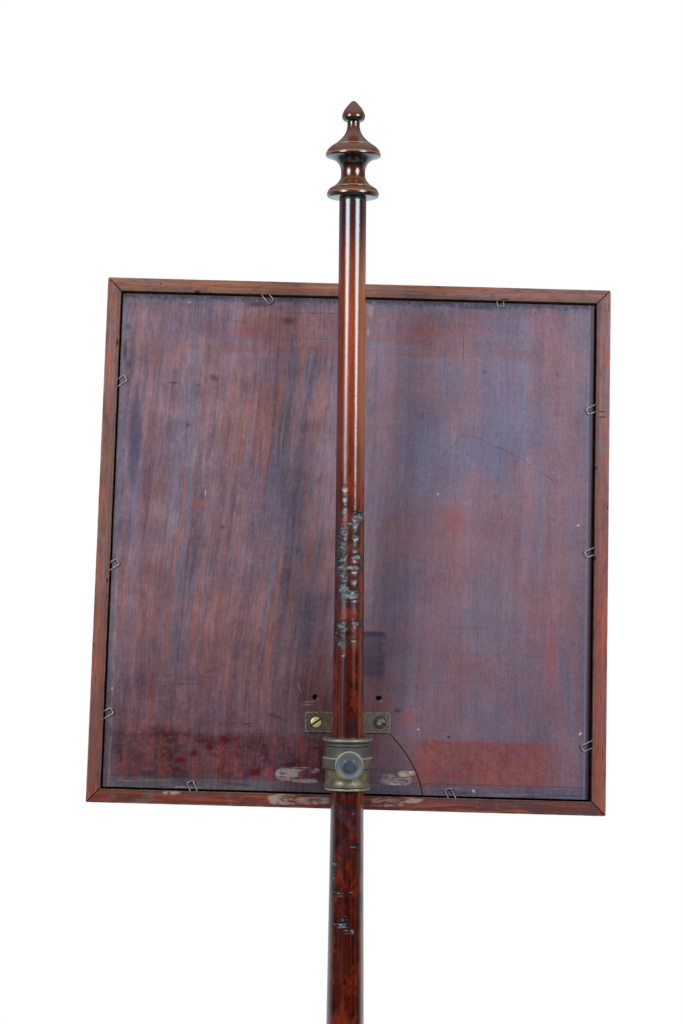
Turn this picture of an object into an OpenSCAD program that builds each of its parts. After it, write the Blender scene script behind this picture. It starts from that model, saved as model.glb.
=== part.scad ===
// Pole screen. A framed banner hangs from a brass collar, which slides and turns on a
// tapering turned pole. The pole stands in a vase-turned pillar on three cabriole legs.
// Millimetres, +Z up, floor at z = 0. The back of the banner faces -Y, its front +Y.
// The origin is the middle of the stand's footprint on the floor.

/* [Pole and finial] */
// Height of the finial's tip above the floor
total_h = 1440; // [1340:5:1540]
// Height of the finial above the pole's top
finial_h = 86; // [80:1:94]
// Radius of the finial's upper flange
finial_flange_r = 24.2; // [23:0.2:27]
// Radius of the finial's lower flange
finial_base_r = 22.8; // [21.5:0.2:25]
// Radius of the finial's waist between the flanges
finial_waist_r = 10.6; // [10:0.2:12.5]
// Radius of the finial's neck under the bud
finial_neck_r = 5.5; // [4.8:0.1:6.4]
// Radius of the finial's bud
finial_bud_r = 10.1; // [9:0.1:11.5]
// Diameter of the dowel that holds the finial
dowel_d = 11; // [8:0.5:13]
// Length of the finial's dowel
dowel_l = 24; // [15:1:40]
// Diameter of the pole at its top
pole_tip_d = 23.8; // [22:0.2:26]
// Diameter of the pole at its foot
pole_foot_d = 36.8; // [34:0.2:39]
// Power of the pole's taper, 1 is straight and more is slimmer
pole_swell = 1.8; // [1.2:0.1:2.2]
// Diameter of the pole's tenon in the pillar
tenon_d = 26; // [20:0.5:28]
// Length of the pole's tenon
tenon_l = 80; // [50:1:100]

/* [Pillar and legs] */
// Height of the pillar's top above the floor
pillar_top = 470; // [450:5:520]
// Height of the pillar's underside above the floor
pillar_base = 78; // [70:1:90]
// Height of the plain block that the legs are let into
block_h = 82; // [80:1:90]
// Radius of that block
block_r = 32; // [31:0.5:35]
// Greatest radius of the pillar's vase
vase_r = 38; // [34:0.5:42]
// Height from that block to the ring above the vase
vase_h = 182; // [165:1:200]
// Radius of the pillar's neck above the vase
neck_r = 19; // [17:0.5:21]
// Distance from the pillar's axis to the middle of a foot
leg_reach = 222; // [200:2:250]
// Thickness of a leg at the pillar
leg_w = 26; // [24:0.5:29]
// Thickness of a leg at the ankle
ankle_w = 17; // [15:0.5:20]
// Depth of a leg where it meets the pillar
leg_deep = 72; // [66:1:78]
// Radius of a pad foot
foot_r = 23; // [20:0.5:27]
// Height of a pad foot
foot_h = 16; // [13:0.5:20]
// Width of a leg's dovetail key at the pillar's face
key_neck = 10; // [8:0.5:12]
// Width of the key at its inner end
key_tail = 15; // [13:0.5:17]
// Depth of the key in the pillar
key_deep = 12; // [9:0.5:14]
// Height of the key above the pillar's underside
key_h = 60; // [45:1:64]
// Thickness of the iron plate under the pillar
iron_t = 3; // [2:0.5:4]
// Reach of the iron plate's arms from the pillar's axis
iron_reach = 54; // [50:1:58]
// Width of the iron plate's arms
iron_w = 16; // [13:0.5:19]

/* [Collar and clamp] */
// Height of the collar's middle above the floor at rest
collar_z = 859; // [800:0.5:900]
// Overall height of the collar with its two bushes
collar_h = 46; // [42:0.5:50]
// Gap between the bushes and the pole at rest
bush_gap = 0.9; // [0.85:0.05:1.2]
// Wall of the bushes' sleeves
bush_wall = 1.6; // [1.2:0.1:2]
// Height of the upper bush's rim
upper_rim_h = 4.4; // [3.6:0.2:5.4]
// Height of the lower bush's rim
lower_rim_h = 2.8; // [2.2:0.2:3.6]
// Length of a bush's sleeve inside the collar
sleeve_l = 9; // [6:0.5:10]
// Wall of the collar between its mouldings
collar_wall = 2.6; // [2:0.1:3.4]
// How far the collar's band and rims stand out from its wall
band_out = 2.3; // [1.6:0.1:3]
// Height of the collar's band
band_h = 9.6; // [8.6:0.2:11]
// Diameter of the clamp screw's shank
shank_d = 5.8; // [4.6:0.2:6.6]
// Sideways offset of the clamp screw from the pole's axis
screw_off = 1.5; // [0:0.1:2]
// Diameter of the clamp screw's knob
knob_d = 24.6; // [22:0.2:28]
// Thickness of the knob's disc
knob_t = 6.5; // [5.5:0.5:8]
// Length of the hub behind the knob's disc
hub_l = 5; // [3:0.5:8]
// Gap between the hub and the collar's band at rest
hub_gap = 1; // [0.6:0.1:2]

/* [Hanger plate] */
// Width of the plate across the banner
plate_w = 76; // [70:1:90]
// Height of the plate's crossbar
plate_h = 18; // [16:0.5:22]
// Thickness of the plate
plate_t = 2.5; // [2:0.1:3]
// Width of the stem that goes down behind the collar
stem_w = 18; // [15:0.5:20]
// Length of the stem below the crossbar
stem_l = 42; // [40:1:46]
// Distance between the plate's two wood screws
plate_pitch = 56.4; // [50:0.2:60]
// Diameter of the wood screws' heads
head_d = 9.6; // [8.4:0.2:10.4]
// Diameter of the wood screws' shanks
wood_screw_d = 3.8; // [3:0.1:4.2]
// Length of the wood screws under the head
wood_screw_l = 8.5; // [7:0.5:9.5]
// Diameter of the rivets between stem and collar
rivet_d = 4.4; // [3.6:0.2:5]
// Distance between the two rivets
rivet_pitch = 13; // [11:0.5:14]

/* [Banner] */
// Width of the banner over its frame
banner_w = 460; // [420:2:500]
// Height of the banner over its frame
banner_h = 476; // [440:2:520]
// Height of the hanger plate's middle above the banner's lower edge
plate_above = 76.5; // [74:0.5:90]
// Distance from the pole's axis to the backboard at the hanger plate
hang_y = 31; // [30.5:0.5:33]
// Angle by which the banner's top leans away from the pole
banner_lean = 7; // [5:0.5:7.5]
// Angle by which the banner hangs out of square with the pole
banner_skew = 1; // [0:0.1:1.5]
// Width of the frame's back face
frame_face = 12.2; // [10:0.2:15]
// Width of the rebate behind the frame's front lip
rebate_w = 7.3; // [5:0.1:9]
// Thickness of the frame's front lip
lip_t = 4; // [3:0.5:6]
// How far the frame stands proud of the backboard
recess = 3.5; // [2.5:0.5:4]
// Gap in the frame's shrunken mitres
mitre_gap = 0.9; // [0.2:0.1:1.4]
// Width planed off the backboard's right edge at its top
planed_top = 0.8; // [0.5:0.1:2.5]
// Width planed off that edge at its lower end
planed_low = 4.4; // [2.6:0.1:5]
// Thickness of the glass
glass_t = 2; // [1.5:0.5:3]
// Thickness of the stretched textile
textile_t = 1.5; // [1:0.5:3]
// Thickness of the strainer board that the textile is stretched on
strainer_t = 3; // [2:0.5:5]
// Thickness of the backboard
back_t = 8; // [7:0.5:10]
// Gap round the backboard in the frame
back_gap = 1.9; // [0.8:0.1:2.2]
// Diameter of the staples' wire
staple_wire = 1.2; // [0.8:0.1:1.4]
// Width of a staple between its legs
staple_w = 5.8; // [4.5:0.1:7]
// How far a staple reaches in over the backboard
staple_out = 9; // [6:0.5:10]
// How deep a staple's legs are driven into the frame
staple_in = 4.5; // [3:0.5:6]
// Angle by which a staple's end stands off the backboard
staple_lift = 8; // [0:1:12]
// Diameter of the two old screw holes in the backboard
old_hole_d = 4.2; // [3:0.1:5]
// Height of the old screw holes above the plate's screws
old_hole_up = 22; // [20:0.5:26]
// Sideways offset of the old screw holes from the plate's screws
old_hole_off = -1.5; // [-3:0.1:3]

/* [Hidden] */

$fn = 48;
// Glue and running clearances
glue_gap = 0.1;
run_gap = 0.05;
// Over-cut of a hole past the face it opens on
over = 1;

mahogany = [0.33, 0.13, 0.09];
mahogany_pale = [0.45, 0.24, 0.19];
board_brown = [0.40, 0.24, 0.25];
old_brass = [0.38, 0.36, 0.30];
bright_brass = [0.72, 0.60, 0.36];
dark_iron = [0.20, 0.19, 0.18];
wire_grey = [0.45, 0.44, 0.42];

// The pole stands a quarter of the legs' reach behind the footprint's middle
module at_pole() {
    translate([0, -leg_reach / 4, 0]) children();
}

// Points along a cubic curve, without its last point
function curve(a, b, c, d, n) = [for (i = [0 : n - 1])
    let (t = i / n, s = 1 - t)
    s * s * s * a + 3 * s * s * t * b + 3 * s * t * t * c + t * t * t * d];

// The pole's radius at a height above the floor
pole_top = total_h - finial_h;
function pole_r(z) = let (u = (z - pillar_top) / (pole_top - pillar_top))
    (pole_tip_d + (pole_foot_d - pole_tip_d) * pow(1 - u, pole_swell)) / 2;

// Turned pole with a tenon below and a dowel hole in its top
pole_steps = 24;
module pole() {
    rise = (pole_top - pillar_top) / pole_steps;
    side = [for (i = [0 : pole_steps])
        let (z = pillar_top + i * rise) [pole_r(z), z]];
    foot = [[0, pillar_top - tenon_l], [tenon_d / 2, pillar_top - tenon_l],
            [tenon_d / 2, pillar_top]];
    color(mahogany) difference() {
        rotate_extrude() polygon(concat(foot, side, [[0, pole_top]]));
        translate([0, 0, pole_top - dowel_l - glue_gap])
            cylinder(d = dowel_d + 2 * glue_gap, h = dowel_l + over);
    }
}

// Half-round moulding on a turned profile, from low to high
function bead(r, z, out, half, step) = [for (a = [-90 : step : 90])
    [r + out * cos(a), z + half * sin(a)]];

// Turned finial: two domed flanges with a cove between them, a bell and a bud
module finial() {
    // Rounding of the flanges' rims, and width and height of the small fillets above their domes
    rim = 0.6;
    ledge = 1.2;
    fillet_h = 1;
    // Heights above the pole's top, from the lower flange to the bud
    base_z = 2.7;
    low_dome_z = 9.2;
    waist_low = 20;
    waist_top = 22.5;
    flange_z = 36.8;
    dome_z = 46.2;
    neck_low = finial_h - 23;
    bud_z = finial_h - 18.6;
    // Rounded tip of the bud, and the flat under the lower flange
    tip_r = 1.6;
    tip_z = finial_h - 0.4;
    flat_r = finial_base_r - 2.2;
    // Radii where the domes end and the cove and the bell begin
    low_dome_r = finial_base_r - 3.4;
    dome_r = finial_flange_r - 5.4;
    low_fillet_r = low_dome_r - ledge;
    fillet_r = dome_r - ledge;
    foot = [[0, 0], [pole_tip_d / 2, 0]];
    low_rim = curve([flat_r, rim], [flat_r + 1.4, rim], [finial_base_r, base_z - 1.1],
                    [finial_base_r, base_z + rim], 5);
    low_dome = curve([finial_base_r, base_z + rim], [finial_base_r, base_z + 3.2],
                     [low_dome_r + 1.8, low_dome_z - 1], [low_dome_r, low_dome_z], 7);
    low_fillet = [[low_dome_r, low_dome_z], [low_fillet_r, low_dome_z],
                  [low_fillet_r, low_dome_z + fillet_h]];
    cove_low = curve([low_fillet_r - rim, low_dome_z + fillet_h],
                     [finial_waist_r + 3.4, low_dome_z + 3.2],
                     [finial_waist_r, waist_low - 3.5], [finial_waist_r, waist_low], 7);
    cove_top = curve([finial_waist_r, waist_top], [finial_waist_r, flange_z - 6.8],
                     [finial_waist_r + 4.2, flange_z - 2.2],
                     [finial_flange_r - rim, flange_z - 0.2], 9);
    dome = curve([finial_flange_r, flange_z + rim], [finial_flange_r, flange_z + 4.6],
                 [dome_r + 2.5, dome_z - 1.6], [dome_r, dome_z], 8);
    fillet = [[dome_r, dome_z], [fillet_r, dome_z], [fillet_r, dome_z + fillet_h]];
    bell = curve([fillet_r - rim, dome_z + fillet_h], [fillet_r - 5.8, dome_z + 5],
                 [finial_neck_r + 2.1, dome_z + 9.3], [finial_neck_r + 0.3, neck_low], 9);
    bud = curve([finial_neck_r, bud_z], [finial_bud_r + 3.5, bud_z + 1.2],
                [finial_bud_r + 0.3, finial_h - 8.5], [tip_r, tip_z], 12);
    color(mahogany) translate([0, 0, pole_top]) union() {
        rotate_extrude() polygon(concat(foot, low_rim, low_dome, low_fillet, cove_low,
            [[finial_waist_r, waist_low]], cove_top, [[finial_flange_r - rim, flange_z - 0.2]],
            dome, fillet, bell, [[finial_neck_r, neck_low + rim]], bud,
            [[tip_r, tip_z], [0, finial_h]]));
        translate([0, 0, -dowel_l]) cylinder(d = dowel_d, h = dowel_l + over);
    }
}

// Vase-turned pillar with a socket for the pole and three flats with dovetail slots
block_top = pillar_base + block_h;
seat_r = sqrt(block_r * block_r - leg_w * leg_w / 4);
module pillar() {
    // Half heights and overhang of the three mouldings: torus, ring and cap
    torus_half = 5;
    ring_half = 4;
    cap_half = 6;
    bead_out = 4;
    fillet = 1;
    // Heights of the vase's foot, its swell, its shoulder, the ring and the cap
    vase_z = block_top + 2 * torus_half + bead_out;
    swell_z = vase_z + 48;
    shoulder_z = swell_z + 48;
    ring_z = block_top + vase_h;
    cap_z = pillar_top - 20;
    // Radii of the vase's foot, the shaft below the cap and the pillar's mouth
    foot_vase_r = block_r - 7;
    mouth_r = pole_foot_d / 2 + 1.5;
    cap_r = max(mouth_r, neck_r) + 3;
    shaft_r = cap_r - 2;
    torus = bead(block_r + fillet, block_top + torus_half, bead_out, torus_half, 22.5);
    vase_low = curve([foot_vase_r, vase_z], [foot_vase_r - 2, vase_z + 10],
                     [vase_r, vase_z + 14], [vase_r, swell_z], 9);
    vase_top = curve([vase_r, swell_z], [vase_r, shoulder_z], [neck_r, shoulder_z],
                     [neck_r, ring_z - ring_half - fillet], 12);
    ring = bead(neck_r + fillet, ring_z, bead_out, ring_half, 22.5);
    shaft = curve([neck_r, ring_z + ring_half + fillet], [neck_r, ring_z + 40],
                  [shaft_r, cap_z - 48], [shaft_r, cap_z - cap_half - fillet], 9);
    cap = bead(cap_r, cap_z, bead_out, cap_half, 22.5);
    top = curve([cap_r, cap_z + cap_half + fillet], [cap_r - fillet, cap_z + 12],
                [mouth_r, pillar_top - 5], [mouth_r, pillar_top], 6);
    color(mahogany) difference() {
        rotate_extrude() polygon(concat([[0, pillar_base], [block_r, pillar_base],
            [block_r, block_top]], torus, vase_low, vase_top, ring, shaft, cap, top,
            [[mouth_r, pillar_top], [0, pillar_top]]));
        translate([0, 0, pillar_top - tenon_l - glue_gap])
            cylinder(d = tenon_d + 2 * glue_gap, h = tenon_l + over);
        for (angle = leg_angles) rotate(angle) {
            translate([seat_r, -leg_w, pillar_base - over])
                cube([block_r, 2 * leg_w, leg_deep + over + glue_gap]);
            key(glue_gap, over);
        }
    }
}

// Sliding dovetail key of a leg, grown by a clearance for its slot in the pillar
leg_angles = [90, 210, 330];
module key(grow, below) {
    translate([0, 0, pillar_base - below]) linear_extrude(key_h + below + grow)
        polygon([[seat_r + over, -key_neck / 2 - grow], [seat_r + over, key_neck / 2 + grow],
                 [seat_r - key_deep - grow, key_tail / 2 + grow],
                 [seat_r - key_deep - grow, -key_tail / 2 - grow]]);
}

// Cabriole leg swept between an upper and a lower line, with a turned pad foot
leg_rings = 32;
leg_half = leg_rings / 2;
leg_sides = 18;
flat_rings = 3;
iron_flat = iron_reach + 3;
leg_top = pillar_base + leg_deep;
// Height of the leg's upper line where the knee turns into the shin, and of its lower line
knee_z = pillar_base + 6;
shin_z = pillar_base - 42;
// Places along the leg of that turn, the middle of the shin and the start of the ankle
knee_x = leg_reach * 0.52;
shin_x = leg_reach * 0.64;
ankle_x = leg_reach * 0.76;
// The ankle ends inside the pad foot, a little above its top and its sole
ankle_end = leg_reach - foot_r / 2;
ankle_top = foot_h + 4;
ankle_low = foot_h / 3;
function leg_upper() = concat(
    curve([seat_r, leg_top], [seat_r + 45, leg_top + 6], [seat_r + 62, leg_top - 22],
          [knee_x, knee_z], leg_half),
    curve([knee_x, knee_z], [shin_x, knee_z - 38], [ankle_x, ankle_top + 8],
          [ankle_end, ankle_top], leg_half),
    [[ankle_end, ankle_top]]);
function leg_lower() = concat(
    curve([seat_r, pillar_base], [seat_r + 8, pillar_base], [iron_flat - 8, pillar_base],
          [iron_flat, pillar_base], flat_rings),
    curve([iron_flat, pillar_base], [iron_flat + 18, pillar_base],
          [knee_x - 18, shin_z + 16], [knee_x + 4, shin_z], leg_half - flat_rings),
    curve([knee_x + 4, shin_z], [shin_x, shin_z - 16], [ankle_x, ankle_low + 6],
          [ankle_end, ankle_low], leg_half),
    [[ankle_end, ankle_low]]);

// One cross-section: a rounded oblong, squarer at the pillar and rounder at the ankle
function leg_ring(up, low, t) = let (
    middle = (up + low) / 2,
    half = (up - low) / 2,
    wide = (leg_w + (ankle_w - leg_w) * sqrt(t)) / 2,
    power = 0.28 + 0.5 * min(1, 2 * t))
    [for (i = [0 : leg_sides - 1])
        let (a = 360 * (i + 0.5) / leg_sides, c = cos(a), s = sin(a),
             across = wide * sign(c) * pow(abs(c), power),
             along = sign(s) * pow(abs(s), power))
        [middle[0] + half[0] * along, across, middle[1] + half[1] * along]];

module leg(angle) {
    up = leg_upper();
    low = leg_lower();
    points = [for (i = [0 : leg_rings]) each leg_ring(up[i], low[i], i / leg_rings)];
    walls = [for (i = [0 : leg_rings - 1], j = [0 : leg_sides - 1])
        let (a = i * leg_sides + j, b = i * leg_sides + (j + 1) % leg_sides)
        each [[a, b + leg_sides, b], [a, a + leg_sides, b + leg_sides]]];
    first = [for (j = [0 : leg_sides - 1]) j];
    last = [for (j = [leg_sides - 1 : -1 : 0]) leg_rings * leg_sides + j];
    sole_r = foot_r * 0.78;
    swell_r = foot_r * 1.08;
    pad_top_r = foot_r * 0.45;
    pad = curve([sole_r, 0], [swell_r, foot_h * 0.15], [swell_r, foot_h * 0.7],
                [pad_top_r, foot_h], 8);
    color(mahogany) rotate(angle) difference() {
        union() {
            polyhedron(points, concat(walls, [first, last]));
            key(0, 0);
            translate([leg_reach, 0, 0])
                rotate_extrude() polygon(concat([[0, 0]], pad, [[pad_top_r, foot_h], [0, foot_h]]));
        }
        iron_screw(glue_gap);
    }
}

// Wood screw that holds an arm of the iron plate to a leg, grown for its hole
iron_screw_r = iron_reach - iron_w / 2;
iron_head_r = 4;
module iron_screw(grow) {
    shank_r = 1.75;
    screw_l = 17;
    translate([iron_screw_r, 0, pillar_base - iron_t]) {
        cylinder(r1 = iron_head_r + grow, r2 = shank_r + grow, h = iron_t);
        cylinder(r = shank_r + grow, h = screw_l + grow);
    }
}

module tripod_screws() {
    slot_w = 0.9;
    slot_deep = 0.8;
    slot_l = 3 * iron_head_r;
    color(dark_iron) for (angle = leg_angles) rotate(angle) difference() {
        iron_screw(0);
        translate([iron_screw_r - slot_l / 2, -slot_w / 2, pillar_base - iron_t - over])
            cube([slot_l, slot_w, slot_deep + over]);
    }
}

// Three-armed iron plate that ties the legs to the pillar from below
module tripod_plate() {
    hub_r = block_r * 0.72;
    color(dark_iron) difference() {
        translate([0, 0, pillar_base - iron_t]) linear_extrude(iron_t) {
            circle(r = hub_r);
            for (angle = leg_angles) rotate(angle) {
                translate([0, -iron_w / 2]) square([iron_screw_r, iron_w]);
                translate([iron_screw_r, 0]) circle(d = iron_w);
            }
        }
        for (angle = leg_angles) rotate(angle) iron_screw(glue_gap);
    }
}

// Collar heights and radii, all from the pole and the bushes
collar_low = collar_z - collar_h / 2;
collar_top = collar_z + collar_h / 2;
bush_r = pole_r(collar_low) + bush_gap;
bore_r = bush_r + bush_wall + run_gap;
wall_r = bore_r + collar_wall;
band_r = wall_r + band_out;
cast_low = collar_low + lower_rim_h + glue_gap;
cast_top = collar_top - upper_rim_h - glue_gap;
// The clamp screw sits a little above the middle of the casting
screw_up = 1.6;
screw_z = (cast_low + cast_top) / 2 + screw_up;

// Brass bush whose rounded rim closes the top of the collar
module upper_bush() {
    rim = upper_rim_h / 2;
    sleeve_z = collar_top - upper_rim_h;
    color(old_brass) rotate_extrude() polygon(concat(
        [[bush_r, sleeve_z - sleeve_l], [bush_r + bush_wall, sleeve_z - sleeve_l],
         [bush_r + bush_wall, sleeve_z]],
        bead(band_r - rim, collar_top - rim, rim, rim, 22.5),
        [[bush_r, collar_top]]));
}

// Brass bush whose thinner rim closes the foot of the collar
module lower_bush() {
    rim = lower_rim_h / 2;
    rim_r = wall_r + band_out / 4;
    sleeve_z = collar_low + lower_rim_h;
    color(old_brass) rotate_extrude() polygon(concat(
        [[bush_r, collar_low]],
        bead(rim_r - rim, collar_low + rim, rim, rim, 22.5),
        [[bush_r + bush_wall, sleeve_z], [bush_r + bush_wall, sleeve_z + sleeve_l],
         [bush_r, sleeve_z + sleeve_l]]));
}

// The hanger's frame: x across, y towards the banner's front, z up, from the plate's middle
module at_hanger() {
    translate([0, hang_y, collar_z + hang_up]) rotate([-banner_lean, 0, 0]) children();
}
// The banner's frame: the hanger's, turned in the backboard's plane
module at_banner() {
    at_hanger() rotate([0, banner_skew, 0]) children();
}
// Height of the plate's middle above the collar's middle
plate_clear = 0.8;
hang_up = collar_h / 2 + plate_h / 2 + plate_clear;

// Cast collar: two waisted bodies, a raised band for the clamp screw, a scribed line below
// the upper bush, a flared foot and a boss behind, whose face leans with the plate's stem
boss_w = 16;
boss_h = 30;
module collar() {
    // Waisting of the two bodies, the softened edges, and the flare at the foot
    waist = 0.4;
    edge = 0.6;
    flare_r = wall_r + band_out * 0.85;
    flare_h = 7;
    // Height of the scribed line, and half its width
    line_z = cast_top - 3;
    line_half = 0.5;
    band_low = screw_z - band_h / 2;
    band_top = screw_z + band_h / 2;
    flare = curve([flare_r, cast_low + edge], [wall_r + edge, cast_low + 2],
                  [wall_r - waist, cast_low + 4], [wall_r - waist, cast_low + flare_h], 6);
    upper = curve([wall_r, band_top], [wall_r - waist, band_top + 4],
                  [wall_r - waist, line_z - 5], [wall_r, line_z - line_half], 6);
    line = [[wall_r, line_z - line_half], [wall_r - edge, line_z],
            [wall_r, line_z + line_half]];
    color(old_brass) difference() {
        union() {
            rotate_extrude() polygon(concat([[bore_r, cast_low], [flare_r - edge / 2, cast_low]],
                flare, [[wall_r - waist, cast_low + flare_h], [wall_r, band_low],
                 [band_r - edge / 2, band_low], [band_r, band_low + edge / 2],
                 [band_r, band_top - edge], [band_r - edge, band_top]], upper, line,
                [[wall_r, cast_top - edge], [wall_r - edge, cast_top], [bore_r, cast_top]]));
            intersection() {
                translate([-boss_w / 2, 0, screw_z - boss_h / 2])
                    cube([boss_w, hang_y + plate_h, boss_h]);
                at_hanger() translate([-plate_w, -3 * hang_y - plate_t, -2 * plate_above])
                    cube([2 * plate_w, 3 * hang_y, 4 * plate_above]);
            }
        }
        translate([0, 0, cast_low - over]) cylinder(r = bore_r, h = cast_top - cast_low + 2 * over);
        clamp_line() cylinder(d = shank_d + 2 * run_gap, h = 3 * band_r);
        at_hanger() rivets(glue_gap);
    }
}

// The clamp screw's line: local +z points out of the collar towards the knob
module clamp_line() {
    translate([screw_off, 0, screw_z]) rotate([90, 0, 0]) children();
}

// Rest position of the clamp screw's parts along that line
tip_gap = 0.7;
tip_y = bush_r - bush_gap + tip_gap;
hub_y = band_r + hub_gap;
disc_y = hub_y + hub_l;
// Metal left between the shank's end and the knob's face
knob_cover = 3;
shank_end = disc_y + knob_t - knob_cover;

// Clamp screw's shank, driven through the collar's band towards the pole
module screw_shank() {
    tip_h = 1;
    color(old_brass) clamp_line() union() {
        translate([0, 0, tip_y + tip_h]) cylinder(d = shank_d, h = shank_end - tip_y - tip_h);
        translate([0, 0, tip_y]) cylinder(d1 = shank_d - 2 * tip_h, d2 = shank_d, h = tip_h);
    }
}

// Round knob: a wider bead at its back, a rounded rim, a dished face and a low button
module screw_knob() {
    hub_wall = 3;
    hub_r = shank_d / 2 + hub_wall;
    // The back bead's overhang and height, and the front rim's smaller overhang
    back_out = 1.2;
    back_h = 2.6;
    rim_out = 0.7;
    rim_r = knob_d / 2 - back_out;
    face_half = (knob_t - back_h) / 2;
    button_r = knob_d * 0.27;
    button_z = knob_t + 0.4;
    dish_z = knob_t - 0.8;
    dish = curve([rim_r - 0.4, knob_t], [rim_r - 1.2, dish_z + 0.4], [button_r + 1.5, dish_z],
                 [button_r, dish_z], 5);
    button = curve([button_r, dish_z], [button_r, button_z], [button_r / 2, button_z],
                   [0, button_z], 6);
    color(old_brass) clamp_line() translate([0, 0, disc_y]) difference() {
        rotate_extrude() polygon(concat([[0, -hub_l], [hub_r, -hub_l], [hub_r, 0]],
            bead(rim_r, back_h / 2, back_out, back_h / 2, 22.5),
            bead(rim_r - 0.1, back_h + face_half, rim_out, face_half, 22.5),
            dish, button, [[0, button_z]]));
        translate([0, 0, -hub_l - over])
            cylinder(d = shank_d + 2 * run_gap, h = hub_l + over + knob_t - knob_cover + run_gap);
    }
}

// T-shaped brass plate: a crossbar screwed to the backboard and a stem behind the collar
module hanger_plate() {
    corner = 1.2;
    color(old_brass) at_hanger() difference() {
        rotate([90, 0, 0]) linear_extrude(plate_t) union() {
            offset_bar(plate_w, plate_h, corner);
            translate([-stem_w / 2, -plate_h / 2 - stem_l]) square([stem_w, stem_l + corner]);
        }
        for (side = [-1, 1]) translate([side * plate_pitch / 2, 0, 0]) wood_screw(glue_gap);
        rivets(glue_gap);
    }
}

// A bar with clipped corners
module offset_bar(w, h, corner) {
    polygon([[-w / 2 + corner, -h / 2], [w / 2 - corner, -h / 2], [w / 2, -h / 2 + corner],
             [w / 2, h / 2 - corner], [w / 2 - corner, h / 2], [-w / 2 + corner, h / 2],
             [-w / 2, h / 2 - corner], [-w / 2, -h / 2 + corner]]);
}

// Countersunk rivets from the stem's back into the collar's boss, grown for their holes
rivet_z = -(hang_up - (screw_z - collar_z));
module rivets(grow) {
    head_r = rivet_d * 0.8;
    sink = plate_t * 0.6;
    in_boss = 4;
    for (side = [-1, 1]) translate([0, 0, rivet_z + side * rivet_pitch / 2])
        rotate([90, 0, 0]) {
            cylinder(d = rivet_d + 2 * grow, h = plate_t + in_boss + grow);
            cylinder(r1 = head_r + grow, r2 = rivet_d / 2 + grow, h = sink);
        }
}

module hanger_rivets() {
    color(old_brass) at_hanger() rivets(0);
}

// Countersunk wood screw at the plate, pointing into the backboard, grown for its hole
head_h = 2;
module wood_screw(grow) {
    translate([0, -plate_t, 0]) rotate([-90, 0, 0]) {
        translate([0, 0, head_h - grow]) cylinder(d = wood_screw_d + 2 * grow,
            h = wood_screw_l - head_h + 2 * grow);
        cylinder(d1 = head_d + 2 * grow, d2 = wood_screw_d + 2 * grow, h = head_h);
    }
}

// One slotted screw with a slightly domed head
module hanger_screw(side, slot_angle) {
    dome_h = 0.6;
    slot_w = 1.7;
    slot_deep = 1;
    dome = curve([head_d / 2, 0], [head_d * 0.3, -dome_h], [head_d * 0.1, -dome_h],
                 [0, -dome_h], 5);
    at_hanger() translate([side * plate_pitch / 2, 0, 0]) difference() {
        union() {
            wood_screw(0);
            translate([0, -plate_t, 0]) rotate([-90, 0, 0])
                rotate_extrude() polygon(concat([[0, 0]], dome, [[0, -dome_h]]));
        }
        translate([0, -plate_t, 0]) rotate([0, slot_angle, 0])
            translate([-head_d, -dome_h - over, -slot_w / 2])
                cube([2 * head_d, over + slot_deep, slot_w]);
    }
}

module hanger_screw_left() {
    color(bright_brass) hanger_screw(-1, -35);
}

module hanger_screw_right() {
    color(old_brass) hanger_screw(1, 20);
}

// The frame's depth from its back face, at -recess, to its front
lip_y = back_t + strainer_t + textile_t + glass_t;
front_y = lip_y + lip_t;
rail_w = frame_face + rebate_w;
// Height of the banner's middle above the hanger plate's middle
banner_mid = banner_h / 2 - plate_above;

// From the banner's frame to its middle
module at_middle() {
    at_banner() translate([0, 0, banner_mid]) children();
}

// Moulded and rebated rail, mitred at both ends, lying along x below the middle
module rail(len, off) {
    // Worn outer edges, and thickness of the lip's front edge at the sight size
    worn = 1.2;
    sight_t = 1.6;
    fillet = 3;
    end = len / 2 - mitre_gap * sqrt(0.5);
    ovolo = curve([front_y, fillet], [front_y + 0.6, rail_w * 0.5], [front_y - 1, rail_w * 0.75],
                  [lip_y + sight_t, rail_w], 8);
    section = concat([[-recess, worn], [-recess + worn * 0.3, worn * 0.3],
                      [-recess + worn, 0], [front_y - fillet, 0], [front_y - worn, worn]],
                     ovolo, [[lip_y + sight_t, rail_w], [lip_y, rail_w], [lip_y, frame_face],
                      [-recess, frame_face]]);
    translate([0, 0, -off]) intersection() {
        rotate([90, 0, 90]) linear_extrude(len, center = true) polygon(section);
        translate([0, front_y + 2 * over, 0]) rotate([90, 0, 0])
            linear_extrude(front_y + recess + 4 * over)
            polygon([[-end, 0], [end, 0], [end - rail_w - over, rail_w + over],
                     [rail_w + over - end, rail_w + over]]);
    }
}

// A rail at one side of the banner, with the holes for its pins and staples
module frame_side(turn, len, off) {
    color(mahogany_pale) at_middle() difference() {
        rotate([0, turn, 0]) rail(len, off);
        pins(glue_gap);
        staple_places() staple_legs(glue_gap);
    }
}

module frame_bottom() {
    frame_side(0, banner_w, banner_h / 2);
}

module frame_left() {
    frame_side(90, banner_h, banner_w / 2);
}

module frame_top() {
    frame_side(180, banner_w, banner_h / 2);
}

module frame_right() {
    frame_side(270, banner_h, banner_w / 2);
}

// Headless pins through the mitres, from the top and bottom edges into the sides
module pins(grow) {
    pin_r = 0.9;
    pin_l = 24;
    pin_in = 0.5;
    for (x = [-1, 1], z = [-1, 1])
        translate([x * (banner_w / 2 - frame_face / 2), back_t / 2, z * (banner_h / 2 - pin_in)])
            rotate([z > 0 ? 180 : 0, 0, 0]) translate([0, 0, grow > 0 ? -pin_in - over : 0])
                cylinder(r = pin_r + grow, h = pin_l + grow + (grow > 0 ? pin_in + over : 0));
}

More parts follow.
